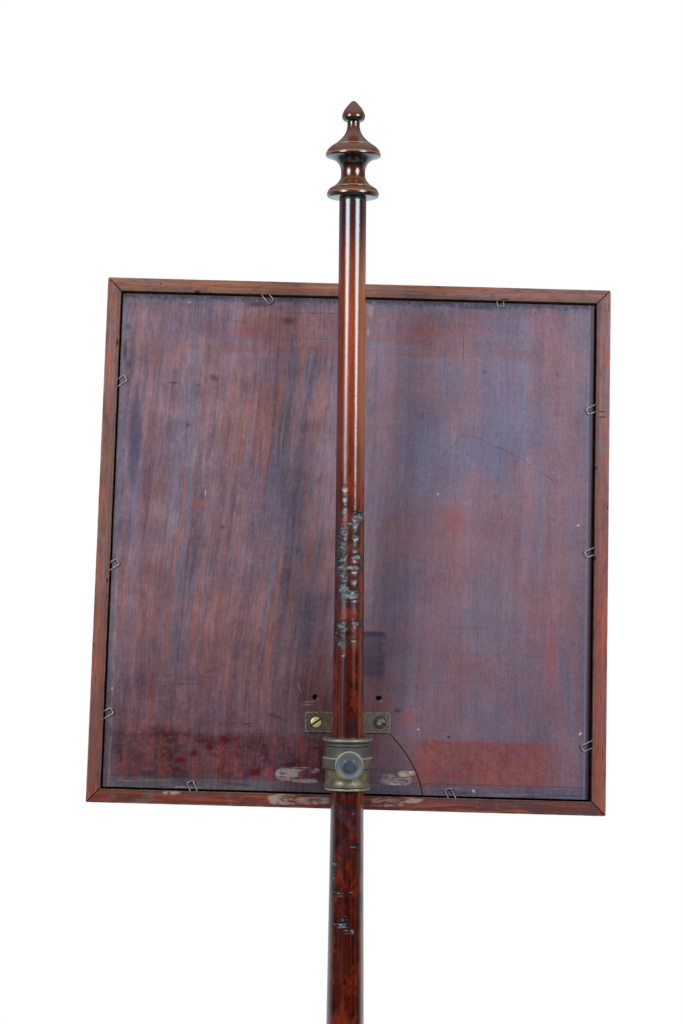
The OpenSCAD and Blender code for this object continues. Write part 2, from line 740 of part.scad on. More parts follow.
module mitre_pins() {
    color(dark_iron) at_middle() pins(0);
}

// A board in the frame's rebate, at a depth and with a gap round it
module board(y, thick, gap) {
    w = banner_w - 2 * (frame_face + gap);
    h = banner_h - 2 * (frame_face + gap);
    translate([-w / 2, y, -h / 2]) cube([w, thick, h]);
}

// Backboard with pilot holes and two older holes. Its right edge was planed off to fit,
// more and more towards its lower end.
module backboard() {
    old_deep = 6;
    edge_x = banner_w / 2 - frame_face - back_gap;
    slope = atan((planed_low - planed_top) * sqrt(0.5) / banner_h);
    deep = (planed_low + planed_top) / 2 * sqrt(0.5);
    color(board_brown) difference() {
        at_middle() board(0, back_t, back_gap);
        at_middle() translate([edge_x, 0, 0]) rotate([0, 0, 45]) translate([0, deep, 0])
            rotate([slope, 0, 0]) translate([-2 * back_t, -2 * back_t, -banner_h])
            cube([4 * back_t, 2 * back_t, 2 * banner_h]);
        at_hanger() for (side = [-1, 1]) translate([side * plate_pitch / 2, 0, 0]) {
            wood_screw(glue_gap);
            translate([old_hole_off, -over, old_hole_up]) rotate([-90, 0, 0])
                cylinder(d = old_hole_d, h = old_deep + over);
        }
    }
}

module strainer_board() {
    color([0.72, 0.60, 0.44]) at_middle() board(back_t, strainer_t, back_gap);
}

module needlework() {
    color([0.66, 0.58, 0.45]) at_middle() board(back_t + strainer_t, textile_t, back_gap);
}

module glass() {
    color([0.80, 0.88, 0.86, 0.35]) at_middle()
        board(back_t + strainer_t + textile_t, glass_t, back_gap / 2);
}

// Staples as set: side of the frame in degrees, place along it, how far askew, and how
// much of their full reach stands out of the frame
staple_sets = [[0, -135, -24, 1], [0, 94, -28, 1], [90, -140, -34, 1], [90, 28, -34, 1],
               [90, 161, -30, 1], [180, -129, -8, 0.6], [180, 85.4, -38, 1],
               [270, 129, -28, 1], [270, -2, -25, 1], [270, -175, -25, 1.1]];

// Puts its child at each staple: local z runs from the frame out over the backboard
module staple_places() {
    for (s = staple_sets) let (off = s[0] % 180 == 0 ? banner_h / 2 : banner_w / 2)
        rotate([0, s[0], 0])
            translate([s[1], -staple_wire / 2 - glue_gap, frame_face - off])
            rotate([staple_lift, 0, 0]) rotate([0, s[2], 0])
            translate([0, 0, (s[3] - 1) * staple_out]) children();
}

// A staple's two legs, driven into the frame, grown for their holes
staple_bend = 1.5;
module staple_legs(grow) {
    for (side = [-1, 1]) translate([side * staple_w / 2, 0, -staple_in - grow])
        cylinder(d = staple_wire + 2 * grow, h = staple_in + staple_out - staple_bend + grow);
}

// U-shaped wires lying on the backboard, with rounded bends
module staples() {
    color(wire_grey) at_middle() staple_places() {
        staple_legs(0);
        for (side = [0, 1]) mirror([side, 0, 0])
            translate([staple_w / 2 - staple_bend, 0, staple_out - staple_bend])
            rotate([90, 0, 0]) rotate_extrude(angle = 90)
            translate([staple_bend, 0]) circle(d = staple_wire);
        translate([staple_bend - staple_w / 2, 0, staple_out]) rotate([0, 90, 0])
            cylinder(d = staple_wire, h = staple_w - 2 * staple_bend);
    }
}

at_pole() pillar();
at_pole() leg(leg_angles[0]);  // leg_front
at_pole() leg(leg_angles[1]);  // leg_left
at_pole() leg(leg_angles[2]);  // leg_right
at_pole() tripod_plate();
at_pole() tripod_screws();
at_pole() pole();
at_pole() finial();
at_pole() upper_bush();
at_pole() lower_bush();
at_pole() collar();
at_pole() hanger_plate();
at_pole() hanger_rivets();
at_pole() hanger_screw_left();
at_pole() hanger_screw_right();
at_pole() frame_top();
at_pole() frame_bottom();
at_pole() frame_left();
at_pole() frame_right();
at_pole() mitre_pins();
at_pole() backboard();
at_pole() strainer_board();
at_pole() needlework();
at_pole() glass();
at_pole() staples();
at_pole() screw_shank();
at_pole() screw_knob();
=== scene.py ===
import math

import bpy
from mathutils import Matrix, Vector, noise


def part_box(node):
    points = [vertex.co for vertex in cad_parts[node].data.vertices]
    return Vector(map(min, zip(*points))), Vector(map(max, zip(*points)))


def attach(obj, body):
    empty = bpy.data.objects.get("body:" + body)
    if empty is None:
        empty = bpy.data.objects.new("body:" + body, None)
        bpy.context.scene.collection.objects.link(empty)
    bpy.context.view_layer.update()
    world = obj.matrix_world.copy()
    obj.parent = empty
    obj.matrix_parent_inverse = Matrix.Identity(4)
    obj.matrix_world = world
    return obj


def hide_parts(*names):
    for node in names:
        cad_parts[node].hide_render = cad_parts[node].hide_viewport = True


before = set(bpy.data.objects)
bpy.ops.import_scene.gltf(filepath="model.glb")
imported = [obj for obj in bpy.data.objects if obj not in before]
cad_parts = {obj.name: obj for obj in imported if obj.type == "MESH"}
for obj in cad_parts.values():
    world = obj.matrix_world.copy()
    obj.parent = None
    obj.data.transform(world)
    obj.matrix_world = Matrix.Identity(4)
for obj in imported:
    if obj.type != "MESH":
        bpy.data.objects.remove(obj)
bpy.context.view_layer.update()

# Legs
# Three cabriole legs, sawn and shaped from solid mahogany and let into the pillar by dovetail
# keys. They are stained and polished dark, and rubbed paler along the knees and the feet.
def select_only(piece):
    bpy.ops.object.select_all(action="DESELECT")
    piece.select_set(True)
    bpy.context.view_layer.objects.active = piece


def cad_copy(node_name, piece_name, smooth_angle):
    """A new piece with a copy of a node's mesh, its triangles merged and its curves smooth."""
    piece = bpy.data.objects.new(piece_name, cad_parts[node_name].data.copy())
    bpy.context.scene.collection.objects.link(piece)
    piece.data.materials.clear()
    select_only(piece)
    bpy.ops.mesh.customdata_custom_splitnormals_clear()
    bpy.ops.object.mode_set(mode="EDIT")
    bpy.ops.mesh.select_all(action="SELECT")
    bpy.ops.mesh.remove_doubles(threshold=2e-6)
    bpy.ops.object.mode_set(mode="OBJECT")
    bpy.ops.object.shade_smooth_by_angle(angle=math.radians(smooth_angle))
    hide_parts(node_name)
    return piece


def srgb(red, green, blue):
    """A colour as a screen shows it, 0 to 255, in the linear values that shaders take."""
    linear = [c / 255 / 12.92 if c <= 10 else ((c / 255 + 0.055) / 1.055) ** 2.4
              for c in (red, green, blue)]
    return (*linear, 1.0)


class Field:
    """A value, colour or vector over a surface: an output of a shader node. Arithmetic on fields
    adds Math nodes, and a name in brackets takes another output of the same node."""

    def __init__(self, socket):
        self.socket, self.tree = socket, socket.id_data

    def __getitem__(self, output):
        return Field(self.socket.node.outputs[output])

    def __add__(self, other):
        return calc("ADD", self, other)

    def __sub__(self, other):
        return calc("SUBTRACT", self, other)

    def __rsub__(self, other):
        return calc("SUBTRACT", other, self)

    def __mul__(self, other):
        return calc("MULTIPLY", self, other)

    def __truediv__(self, other):
        return calc("DIVIDE", self, other)

    def __abs__(self):
        return calc("ABSOLUTE", self)

    __radd__, __rmul__ = __add__, __mul__


def feed(node, inputs):
    """Sets a node's inputs by name or number: a field is linked, and a plain value is set."""
    for name, value in inputs.items():
        if isinstance(value, Field):
            value.tree.links.new(value.socket, node.inputs[name])
        else:
            node.inputs[name].default_value = value


def add(tree, kind, inputs=None, **settings):
    """Adds a shader node with its settings and inputs, and gives its first output."""
    made = tree.nodes.new("ShaderNode" + kind)
    for name, value in settings.items():
        setattr(made, name, value)
    feed(made, inputs or {})
    return Field(made.outputs[0])


def tree_of(*values):
    """The node tree of the fields among some values."""
    return next(value.tree for value in values if isinstance(value, Field))


def calc(operation, first, second=0.0):
    return add(tree_of(first, second), "Math", {0: first, 1: second}, operation=operation)


def vector(operation, first, second=(0, 0, 0)):
    return add(first.tree, "VectorMath", {0: first, 1: second}, operation=operation)


def mix(factor, first, second, blend="MIX"):
    """Lays the second colour over the first by a factor."""
    return add(tree_of(factor, first, second), "Mix", {0: factor, 6: first, 7: second},
               data_type="RGBA", blend_type=blend)[2]


def layered(colour, *layers):
    """Lays colours over one another. Each layer is its cover, from 0 to 1, and its colour."""
    for cover, over in layers:
        colour = mix(cover, colour, over)
    return colour


def step(value, low, high):
    """Rises smoothly from 0 at low to 1 at high."""
    return add(value.tree, "MapRange", {"Value": value, "From Min": low, "From Max": high},
               interpolation_type="SMOOTHSTEP")


def speckle(place, scale, detail=3.0, rough=0.55):
    """Cloudy noise from 0 to 1."""
    return add(place.tree, "TexNoise", {"Vector": place, "Scale": scale, "Detail": detail,
                                        "Roughness": rough})["Fac"]


def bumps(height, strength, depth):
    """A normal that follows a height over the surface. A depth below 0 sinks it in."""
    return add(height.tree, "Bump", {"Height": height, "Strength": strength, "Distance": depth})


def new_group(name, inputs, outputs):
    """An empty node group, with its inputs as fields and its output node."""
    group = bpy.data.node_groups.new(name, "ShaderNodeTree")
    for label, kind in inputs:
        group.interface.new_socket(label, in_out="INPUT", socket_type="NodeSocket" + kind)
    for label, kind in outputs:
        group.interface.new_socket(label, in_out="OUTPUT", socket_type="NodeSocket" + kind)
    given = Field(group.nodes.new("NodeGroupInput").outputs[0])
    return group, given, group.nodes.new("NodeGroupOutput")


# Wood grain that runs along Z: broad bands, fine lines and short dark pores
wood_grain, given, gives = new_group(
    "wood_grain", [("Vector", "Vector"), ("Band Scale", "Float"), ("Line Scale", "Float")],
    [("Bands", "Float"), ("Lines", "Float"), ("Pores", "Float")])
drawn_out = vector("MULTIPLY", given["Vector"], (1, 1, 0.035))
bands = add(wood_grain, "TexNoise", {"Vector": drawn_out, "Scale": given["Band Scale"],
                                     "Detail": 4.0, "Distortion": 0.6})["Fac"]
lines = add(wood_grain, "TexNoise", {"Vector": drawn_out, "Scale": given["Line Scale"],
                                     "Detail": 2.0})["Fac"]
pores = add(wood_grain, "TexNoise", {"Vector": drawn_out,
                                     "Scale": given["Line Scale"] * 2.6})["Fac"]
feed(gives, {"Bands": step(bands, 0.3, 0.7), "Lines": step(lines, 0.3, 0.7),
             "Pores": step(pores, 0.62, 0.74)})


def grain_in(place, band_scale, line_scale):
    """Wood grain at its own scale, with the outputs Bands, Lines and Pores."""
    return add(place.tree, "Group", {"Vector": place, "Band Scale": band_scale,
                                     "Line Scale": line_scale}, node_tree=wood_grain)


def new_material(name):
    """A new material, its Principled shader and the object's coordinates."""
    material = bpy.data.materials.new(name)
    material.use_nodes = True
    tree = material.node_tree
    return material, tree.nodes["Principled BSDF"], add(tree, "TexCoord")["Object"]


def put_on(piece, material):
    piece.data.materials.clear()
    piece.data.materials.append(material)


def polished_mahogany(name, dark, middle, bright, gloss):
    """Stained mahogany under old shellac. Gloss is the polish's strength, from 0 to 1."""
    material, shader, place = new_material(name)
    grain = grain_in(place, 70.0, 420.0)
    rubbed = step(speckle(place, 18.0), 0.45, 0.75)
    colour = layered(mix(grain["Bands"], dark, middle), (grain["Lines"] * 0.35, bright),
                     (rubbed * 0.3, bright), (grain["Pores"] * 0.6, srgb(24, 10, 8)))
    feed(shader, {"Base Color": colour, "Roughness": rubbed * 0.18 + 0.32, "Coat Weight": gloss,
                  "Coat Roughness": 0.09, "Coat IOR": 1.8,
                  "Normal": bumps(grain["Pores"], 0.25, -0.0002)})
    return material, shader, place


stand_wood, *_ = polished_mahogany("stand_mahogany", srgb(58, 20, 13), srgb(98, 38, 24),
                                   srgb(150, 74, 44), 0.8)
for name in ("leg_front", "leg_left", "leg_right"):
    leg = cad_copy(name, "cabriole_" + name, 32)
    put_on(leg, stand_wood)
    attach(leg, "stand")

# Pillar
# Vase-turned from one billet of mahogany, with a socket in its top for the pole.
# It is stained and polished like the legs.
pillar = cad_copy("pillar", "vase_pillar", 30)
put_on(pillar, stand_wood)
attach(pillar, "stand")

# Iron plate and its screws
# A forged three-armed plate under the pillar ties the legs together, held by three slotted
# wood screws. Bare iron, gone brown.
iron, shader, place = new_material("browned_iron")
rust = step(speckle(place, 160.0, 6.0), 0.42, 0.62)
feed(shader, {"Base Color": mix(rust, srgb(58, 54, 50), srgb(84, 52, 34)),
              "Metallic": 0.85 - rust * 0.7, "Roughness": 0.55,
              "Normal": bumps(speckle(place, 420.0), 0.4, 0.0004)})


def soften(piece, width):
    """Rounds a piece's sharp edges over by a small width."""
    select_only(piece)
    bevel = piece.modifiers.new("worn_edges", "BEVEL")
    bevel.width = width
    bevel.segments = 2
    bevel.limit_method = "ANGLE"
    bevel.angle_limit = math.radians(40)
    bevel.harden_normals = False
    bpy.ops.object.modifier_apply(modifier=bevel.name)


def flat_copy(node_name, piece_name, width):
    """A copy of a node whose flat faces are joined and whose edges are softened."""
    piece = cad_copy(node_name, piece_name, 30)
    bpy.ops.object.mode_set(mode="EDIT")
    bpy.ops.mesh.select_all(action="SELECT")
    bpy.ops.mesh.dissolve_limited(angle_limit=math.radians(0.5))
    bpy.ops.object.mode_set(mode="OBJECT")
    soften(piece, width)
    select_only(piece)
    bpy.ops.object.shade_smooth_by_angle(angle=math.radians(30))
    return piece


tie_plate = flat_copy("tripod_plate", "iron_tie_plate", 0.0005)
tie_screws = cad_copy("tripod_screws", "tie_plate_screws", 30)
for piece in (tie_plate, tie_screws):
    put_on(piece, iron)
    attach(piece, "stand")

# Pole
# Turned from one length of mahogany and French-polished. The collar's screw has bruised it for
# years: chipped rings and grey rough patches where it was clamped, and scuffs below the collar.
pole_axis = Vector((0, -0.0555, 0))
pole_tip_r, pole_foot_r, pole_swell = 0.0119, 0.0184, 1.8
finial_h = 0.086
pillar_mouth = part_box("pillar")[1].z
pole_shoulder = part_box("finial")[1].z - finial_h


def turned(name, profile, segments):
    """Extrudes a profile of radii and heights vertex by vertex and spins it round the pole."""
    bpy.ops.object.select_all(action="DESELECT")
    bpy.ops.mesh.primitive_plane_add(size=0.01, location=(0, 0, 0))
    piece = bpy.context.active_object
    piece.name = name
    points = [pole_axis + Vector((radius, 0, height)) for radius, height in profile]
    bpy.ops.object.mode_set(mode="EDIT")
    bpy.ops.mesh.select_all(action="SELECT")
    bpy.ops.mesh.merge(type="CENTER")
    bpy.ops.transform.translate(value=points[0])
    for before, after in zip(points, points[1:]):
        bpy.ops.mesh.extrude_region_move(TRANSFORM_OT_translate={"value": after - before})
    bpy.ops.mesh.select_all(action="SELECT")
    bpy.ops.mesh.spin(steps=segments, angle=math.tau, center=pole_axis, axis=(0, 0, 1))
    bpy.ops.mesh.select_all(action="SELECT")
    bpy.ops.mesh.remove_doubles(threshold=1e-6)
    bpy.ops.mesh.normals_make_consistent(inside=False)
    bpy.ops.object.mode_set(mode="OBJECT")
    bpy.ops.object.shade_smooth_by_angle(angle=math.radians(30))
    return piece


def pole_radius(height):
    up = (height - pillar_mouth) / (pole_shoulder - pillar_mouth)
    return pole_tip_r + (pole_foot_r - pole_tip_r) * (1 - up) ** pole_swell


def stations(*spans):
    """Heights from span to span: each span is its first height, its last and the step between."""
    heights = []
    for first, last, gap in spans:
        count = round((last - first) / gap)
        heights += [first + (last - first) * i / count for i in range(count)]
    return heights + [spans[-1][1]]


# Heights between which the screw has bruised the pole, and the collar's foot has scuffed it
bruised, scuffed = (0.94, 1.125), (0.70, 0.835)
heights = stations((pillar_mouth, scuffed[0], 0.008), (*scuffed, 0.0007),
                   (scuffed[1], bruised[0], 0.006), (*bruised, 0.0006),
                   (bruised[1], pole_shoulder, 0.008))
pole = turned("turned_pole", [(0, heights[0])] + [(pole_radius(z), z) for z in heights]
              + [(0, heights[-1])], segments=160)

# Bruises: height, angle round the pole from the screw's side, half height, half angle and depth,
# in millimetres and degrees, and the bare grey wood: 0 is a smooth dent, below 0 a dark smear
bruises = [
    (1099, -22, 4.5, 20, 0.22, 0), (1090.5, -22, 4.5, 20, 0.22, 0), (1081.5, -22, 4, 20, 0.22, 0),
    (1094.5, -24, 1.2, 14, 0.1, -0.6), (1086.2, -26, 1.4, 16, 0.1, -0.7),
    (1077.5, -34, 3.4, 14, 0.2, 0.6), (1073.5, 46, 4.6, 34, 0.3, 0.8),
    (1078.2, 40, 0.8, 34, 0.2, -0.9), (1068, 14, 1.8, 52, 0.3, 0.75),
    (1066, 18, 0.8, 50, 0.2, -0.8), (1064, -34, 2, 14, 0.2, 0.6), (1060.5, -24, 3.2, 17, 0.3, 0.85),
    (1057, 26, 2.4, 9, 0.5, 0.6), (1053, -30, 4, 26, 0.2, -0.7), (1048.5, -30, 4.8, 24, 0.3, 0.65),
    (1045, 22, 4, 14, 0.2, 0), (1041.5, -22, 2.4, 20, 0.3, -0.9), (1038.8, 34, 2.8, 36, 0.4, 0.8),
    (1036, -36, 2.4, 24, 0.3, 0.6), (1030, -2, 2.4, 72, 0.4, 0.8), (1026.8, 6, 0.9, 74, 0.3, -0.9),
    (1022.5, -26, 4.4, 20, 0.3, 0.75), (1019, 16, 4.5, 20, 0.3, 0),
    (1016.5, -30, 1.2, 26, 0.2, -0.8), (1011.5, -22, 5, 24, 0.4, 0.85),
    (1006.5, 0, 4.2, 42, 0.4, 0.85), (1002, 4, 1, 44, 0.3, -0.9), (986, 14, 4.5, 20, 0.25, 0),
    (983, 18, 4, 10, 0.2, 0.3), (979, -26, 3.6, 34, 0.4, 0.7), (981.2, 46, 2.8, 26, 0.4, 0.65),
    (982.6, 0, 1.4, 74, 0.4, -0.9), (971, 3, 3.8, 22, 0.5, 0), (967.2, 4, 1, 26, 0.2, -0.8),
    (964, -36, 3.6, 26, 0.3, 0.7), (955.5, -30, 2.4, 12, 0.3, -0.7),
    (1048, -72, 44, 38, 0.3, -0.75), (1044, -60, 40, 40, 0.4, 0.46), (972, -70, 20, 34, 0.3, -0.6),
    (970, -60, 16, 36, 0.3, 0.46), (1098.5, 72, 6, 16, 0.6, -0.8), (1079, 70, 5, 20, 0.6, 0.5),
    (1006, 76, 3, 14, 0.6, -0.5), (981.5, 76, 1.6, 16, 0.5, -0.5), (822, -3, 3.4, 36, 0.1, -1),
    (816.5, 22, 0.9, 14, 0.1, 0.7), (799, 0, 7, 16, 0.1, -0.7), (789.5, 28, 1.4, 32, 0.2, -1),
    (785, 38, 1.3, 26, 0.2, -0.9), (787.5, 24, 0.6, 24, 0.1, 0.7), (770, 62, 18, 24, 0, -0.8),
    (892, 14, 8, 20, 0, -1), (772, -48, 1.2, 16, 0.2, 0.8), (747.5, -28, 0.8, 24, 0.3, 1),
    (748.4, 14, 0.8, 11, 0.2, 0.9), (746, -12, 1, 40, 0.3, -0.9), (760, -48, 14, 8, 0.2, 0.55),
    (740, 56, 12, 20, 0, -1), (725, -6, 3.4, 20, 0.1, 0.55), (720.5, -28, 0.9, 40, 0.3, 1),
    (718.4, -12, 0.9, 30, 0.3, 0.95), (715.5, 8, 1, 20, 0.2, 0.9), (712.8, 6, 0.8, 16, 0.2, 0.95),
    (714.2, 22, 1.8, 6, 0.2, 0.9), (722.5, -4, 5, 34, 0, -0.5),
]
bare_wood = pole.data.attributes.new("bare_wood", "FLOAT", "POINT")
smears = pole.data.attributes.new("smears", "FLOAT", "POINT")
fade_out = 1.6
for vertex in pole.data.vertices:
    out = vertex.co - pole_axis
    height = out.z
    out.z = 0
    if out.length < 1e-4 or not scuffed[0] < height < bruised[1]:
        continue
    angle = math.degrees(math.atan2(out.x, -out.y))
    rough = 1 + 0.9 * noise.noise(vertex.co * 420)
    sunk = 0.0
    for centre, turn, half_height, half_angle, depth, bare in bruises:
        away = math.hypot((height * 1000 - centre) / half_height, (angle - turn) / half_angle)
        if bare == 0:
            sunk = max(sunk, depth * max(0.0, 1 - away * away) ** 2)
        elif away < fade_out:
            inside = 1 - away / fade_out
            sunk = max(sunk, min(1.0, inside * 2) * depth * 0.7 * rough)
            spot = (bare_wood if bare > 0 else smears).data[vertex.index]
            spot.value = max(spot.value, inside * abs(bare))
    if height > bruised[0]:
        sunk += 0.06 * noise.noise(vertex.co * 120)
    vertex.co -= out.normalized() * (sunk / 1000)


def split(place):
    """A vector's parts, by the names X, Y and Z."""
    return add(place.tree, "SeparateXYZ", {"Vector": place})


pole_wood, shader, place = new_material("pole_mahogany")
grain = grain_in(place, 95.0, 520.0)
height, across = split(place)["Z"], split(place)["X"]
squeezed = vector("MULTIPLY", place, (1, 1, 0.6))
blotch = step(speckle(squeezed, 75.0, 5.0, 0.65), 0.46, 0.6)
murk = step(speckle(squeezed, 115.0, 5.0, 0.65), 0.48, 0.6)
tan_edge = step(across, 0.0068, 0.0112) * step(grain["Bands"], 0.1, 0.6)
deep = layered(mix(grain["Bands"], srgb(46, 6, 3), srgb(76, 15, 8)),
               (blotch * 0.85, srgb(124, 40, 16)), (murk * 0.85, srgb(18, 5, 6)),
               (tan_edge * 0.65, srgb(134, 76, 44)))
# The upper pole is faded to orange, tan on the right and redder on the left
sunned = layered(mix(grain["Bands"], srgb(116, 44, 20), srgb(164, 74, 34)),
                 (murk * 0.3, srgb(84, 30, 16)),
                 (step(across, 0.004, 0.0085) * 0.8, srgb(176, 110, 72)),
                 (step(across, -0.005, -0.0085) * 0.6, srgb(96, 40, 28)))
# A painted bluish sheen round the collar, dark smears, and chips with dark edges and grey crumbled
# wood
warm = step(height, 0.72, 0.62) * blotch
painted_sheen = step(height, 0.76, 0.8) * step(height, 0.85, 0.83)
painted_sheen *= step(speckle(squeezed, 130.0, 5.0), 0.48, 0.6)
drawn = vector("MULTIPLY", place, (1, 1, 0.012))
wiped = step(speckle(drawn, 560.0, 2.0), 0.54, 0.68) * step(height, 1.1, 0.95)
faint = 0.12 + step(height, 0.8, 0.88) * 0.28
fray = vector("MULTIPLY", place, (1, 1, 1.7))
torn = (speckle(fray, 400.0, 6.0, 0.75) - 0.5) * 1.9
chipped = add(place.tree, "Attribute", attribute_name="bare_wood")["Fac"] + torn
smeared = add(place.tree, "Attribute", attribute_name="smears")["Fac"] - torn
crumble = step(speckle(fray, 330.0, 5.0, 0.7), 0.4, 0.6)
dusty = mix(crumble, srgb(40, 36, 40), srgb(142, 144, 153))
bared = step(chipped, 0.42, 0.62)
tarry = mix(step(height, 0.93, 0.905), srgb(20, 18, 23), srgb(34, 30, 41))
# Painted shade: a nearly black ring round the pole's top, in the finial's shadow, where its
# highlights are also dulled
under_finial = step(height, pole_shoulder - 0.0022, pole_shoulder - 0.0014)
colour = layered(
    mix(step(height, 1.06, 1.19), deep, sunned), (warm * 0.4, srgb(122, 46, 22)),
    (grain["Lines"] * 0.25, srgb(128, 50, 26)), (grain["Pores"] * 0.55, srgb(24, 7, 5)),
    (step(height, 1.275, 1.342) * 0.92, srgb(52, 26, 34)), (painted_sheen * 0.5, srgb(58, 46, 70)),
    (wiped * faint, srgb(132, 76, 68)), (step(chipped, 0.2, 0.36) * 0.85, srgb(28, 18, 18)),
    (bared, dusty), (step(smeared, 0.42, 0.62) * 0.9, tarry), (under_finial, srgb(8, 5, 5)))
tired = step(height, 1.27, 1.13) * step(across, 0.0, -0.003)
handled = step(height, 0.955, 0.965) * step(height, 1.082, 1.072)
dulled = 0.19 + tired * 0.08 + handled * 0.1 + under_finial * 0.3 + step(chipped, 0.3, 0.5) * 0.16
cool_shine = (0.72, 0.91, 1.0, 1)
feed(shader, {"Base Color": colour, "Roughness": dulled, "IOR": 1.74, "Specular Tint": cool_shine,
              "Normal": bumps(crumble * bared, 0.4, 0.0002)})
put_on(pole, pole_wood)
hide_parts("pole")
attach(pole, "stand")

# Finial
# Turned from mahogany and dowelled into the pole's top: two domed flanges with small fillets, a
# cove between them, a bell and a pointed bud, polished to a gloss. The upward faces are painted
# lighter as if lit from above, painted shade blackens the undersides and the creases, and the pale
# lines round the rims are wear with a painted highlight.
def curve(first, lead, trail, last, count):
    """Points along a cubic curve between two points, without the last one."""
    points = []
    for i in range(count):
        t = i / count
        shares = ((1 - t) ** 3, 3 * (1 - t) ** 2 * t, 3 * (1 - t) * t * t, t ** 3)
        points.append([sum(s * p[k] for s, p in zip(shares, (first, lead, trail, last)))
                       for k in (0, 1)])
    return points


def fillet(radius, low, high):
    """A small upright step in a profile, with its upper edge rounded."""
    return [(radius + 0.15, low), (radius, low + 0.15), (radius, high - 0.35),
            (radius - 0.1, high - 0.1)]


# Sizes in millimetres from the pole's shoulder
top_z = finial_h * 1000
flange_r, base_r, waist_r, neck_r, bud_r = 24.2, 22.8, 10.6, 5.5, 10.1
rim, ledge, fillet_h, tip_r = 0.6, 1.2, 1.0, 1.6
base_z, low_dome_z, waist_low, waist_top, flange_z, dome_z = 2.7, 9.2, 20, 22.5, 36.8, 46.2
neck_z, bud_z, tip_z = top_z - 23, top_z - 18.6, top_z - 0.4
low_dome_r, dome_r, flat_r = base_r - 3.4, flange_r - 5.4, base_r - 2.2
low_fillet_r, fillet_r = low_dome_r - ledge, dome_r - ledge
profile_mm = [
    (0, 0), (pole_tip_r * 1000, 0),
    *curve((flat_r, rim), (flat_r + 1.4, rim), (base_r, base_z - 1.1), (base_r, base_z + rim), 10),
    *curve((base_r, base_z + rim), (base_r, base_z + 3.2), (low_dome_r + 1.8, low_dome_z - 1),
           (low_dome_r, low_dome_z), 14),
    (low_dome_r, low_dome_z), *fillet(low_fillet_r, low_dome_z, low_dome_z + fillet_h),
    *curve((low_fillet_r - rim, low_dome_z + fillet_h), (waist_r + 3.4, low_dome_z + 3.2),
           (waist_r, waist_low - 3.5), (waist_r, waist_low), 12),
    *curve((waist_r, waist_top), (waist_r, flange_z - 6.8), (waist_r + 4.2, flange_z - 2.2),
           (flange_r - rim, flange_z - 0.2), 18),
    (flange_r - rim, flange_z - 0.2), (flange_r - 0.1, flange_z + 0.2),
    *curve((flange_r, flange_z + rim), (flange_r, flange_z + 4.6), (dome_r + 2.5, dome_z - 1.6),
           (dome_r, dome_z), 14),
    (dome_r, dome_z), *fillet(fillet_r, dome_z, dome_z + fillet_h),
    *curve((fillet_r - rim, dome_z + fillet_h), (fillet_r - 5.8, dome_z + 5),
           (neck_r + 0.8, dome_z + 9.3), (neck_r + 0.1, neck_z), 14),
    (neck_r, neck_z + rim),
    *curve((neck_r, bud_z), (bud_r + 3.5, bud_z + 1.2), (bud_r + 0.3, top_z - 8.5),
           (tip_r, tip_z), 24),
    (tip_r, tip_z), (tip_r / 2, top_z - 0.08), (0, top_z)]
finial = turned("turned_finial",
                [(r / 1000, pole_shoulder + z / 1000) for r, z in profile_mm], segments=112)
# How far each point faces up or down, which places the painted light and shade below
facing = finial.data.attributes.new("facing_up", "FLOAT", "POINT")
for vertex in finial.data.vertices:
    facing.data[vertex.index].value = vertex.normal.z

finial_wood, shader, place = polished_mahogany(
    "finial_mahogany", srgb(48, 16, 6), srgb(86, 36, 14), srgb(122, 62, 26), 0.0)
for smooth in ("Roughness", "Normal"):
    place.tree.links.remove(shader.inputs[smooth].links[0])
feed(shader, {"Roughness": 0.21, "IOR": 1.85, "Specular Tint": cool_shine})


def lay_over(shader, *layers):
    """Lays colours over what already reaches a shader's base colour."""
    under = Field(shader.inputs["Base Color"].links[0].from_socket)
    feed(shader, {"Base Color": layered(under, *layers)})


def line_at(value, middle, half):
    """1 where a value lies within half of the middle, with soft ends."""
    return step(abs(value - middle), half, half * 0.4)


height = split(place)["Z"]
facing_up = add(place.tree, "Attribute", attribute_name="facing_up")["Fac"]
# Painted light and shade: upward faces painted lighter and olive as if lit from above, undersides
# painted nearly black
lay_over(shader, (step(facing_up, 0.1, 0.6) * 0.75, srgb(102, 58, 28)),
         (step(facing_up, -0.05, -0.55) * 0.95, srgb(10, 4, 2)))
# Painted shade: dark lines in the creases at the pole's shoulder, at the foot of each fillet and
# under the bud
for shaded_crease in (0, low_dome_z + 0.1, dome_z + 0.1, bud_z):
    lay_over(shader, (line_at(height, pole_shoulder + shaded_crease / 1000, 0.0007), srgb(16, 8, 6)))
# Pale lines round the rims and fillet tops: wear, with a painted highlight
for edge, cover in ((base_z + 2, 0.45), (low_dome_z + fillet_h, 0.6),
                    (flange_z + 2, 0.5), (dome_z + fillet_h, 0.6)):
    worn_and_highlit = line_at(height, pole_shoulder + edge / 1000, 0.0009)
    lay_over(shader, (worn_and_highlit * cover, srgb(196, 146, 108)))
put_on(finial, finial_wood)
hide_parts("finial")
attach(finial, "stand")

# Bushes and collar
# Two turned brass bushes close the ends of a cast brass collar. All are old brass, grey above and
# olive below, with painted shade lines in the corners, and pale edge lines of rubbed bare metal
# with a painted highlight.
def old_brass(name, metal, tarnish, cover, rough, shine):
    """Brass under tarnish: cover is how much of it is tarnished and shine how metallic it looks."""
    material, shader, place = new_material(name)
    film = step(speckle(place, 120.0, 5.0), 0.75 - 0.6 * cover, 1.0 - 0.6 * cover)
    grime = step(speckle(place, 520.0, 4.0, 0.65), 0.5, 0.68)
    colour = layered(metal, (film, tarnish), (grime * 0.35, srgb(52, 46, 40)))
    feed(shader, {"Base Color": colour, "Metallic": shine - grime * (0.5 * shine),
                  "Roughness": rough + film * 0.14 + grime * 0.15,
                  "Normal": bumps(speckle(place, 1400.0, 3.0), 0.2, 0.0002)})
    return material, shader, place


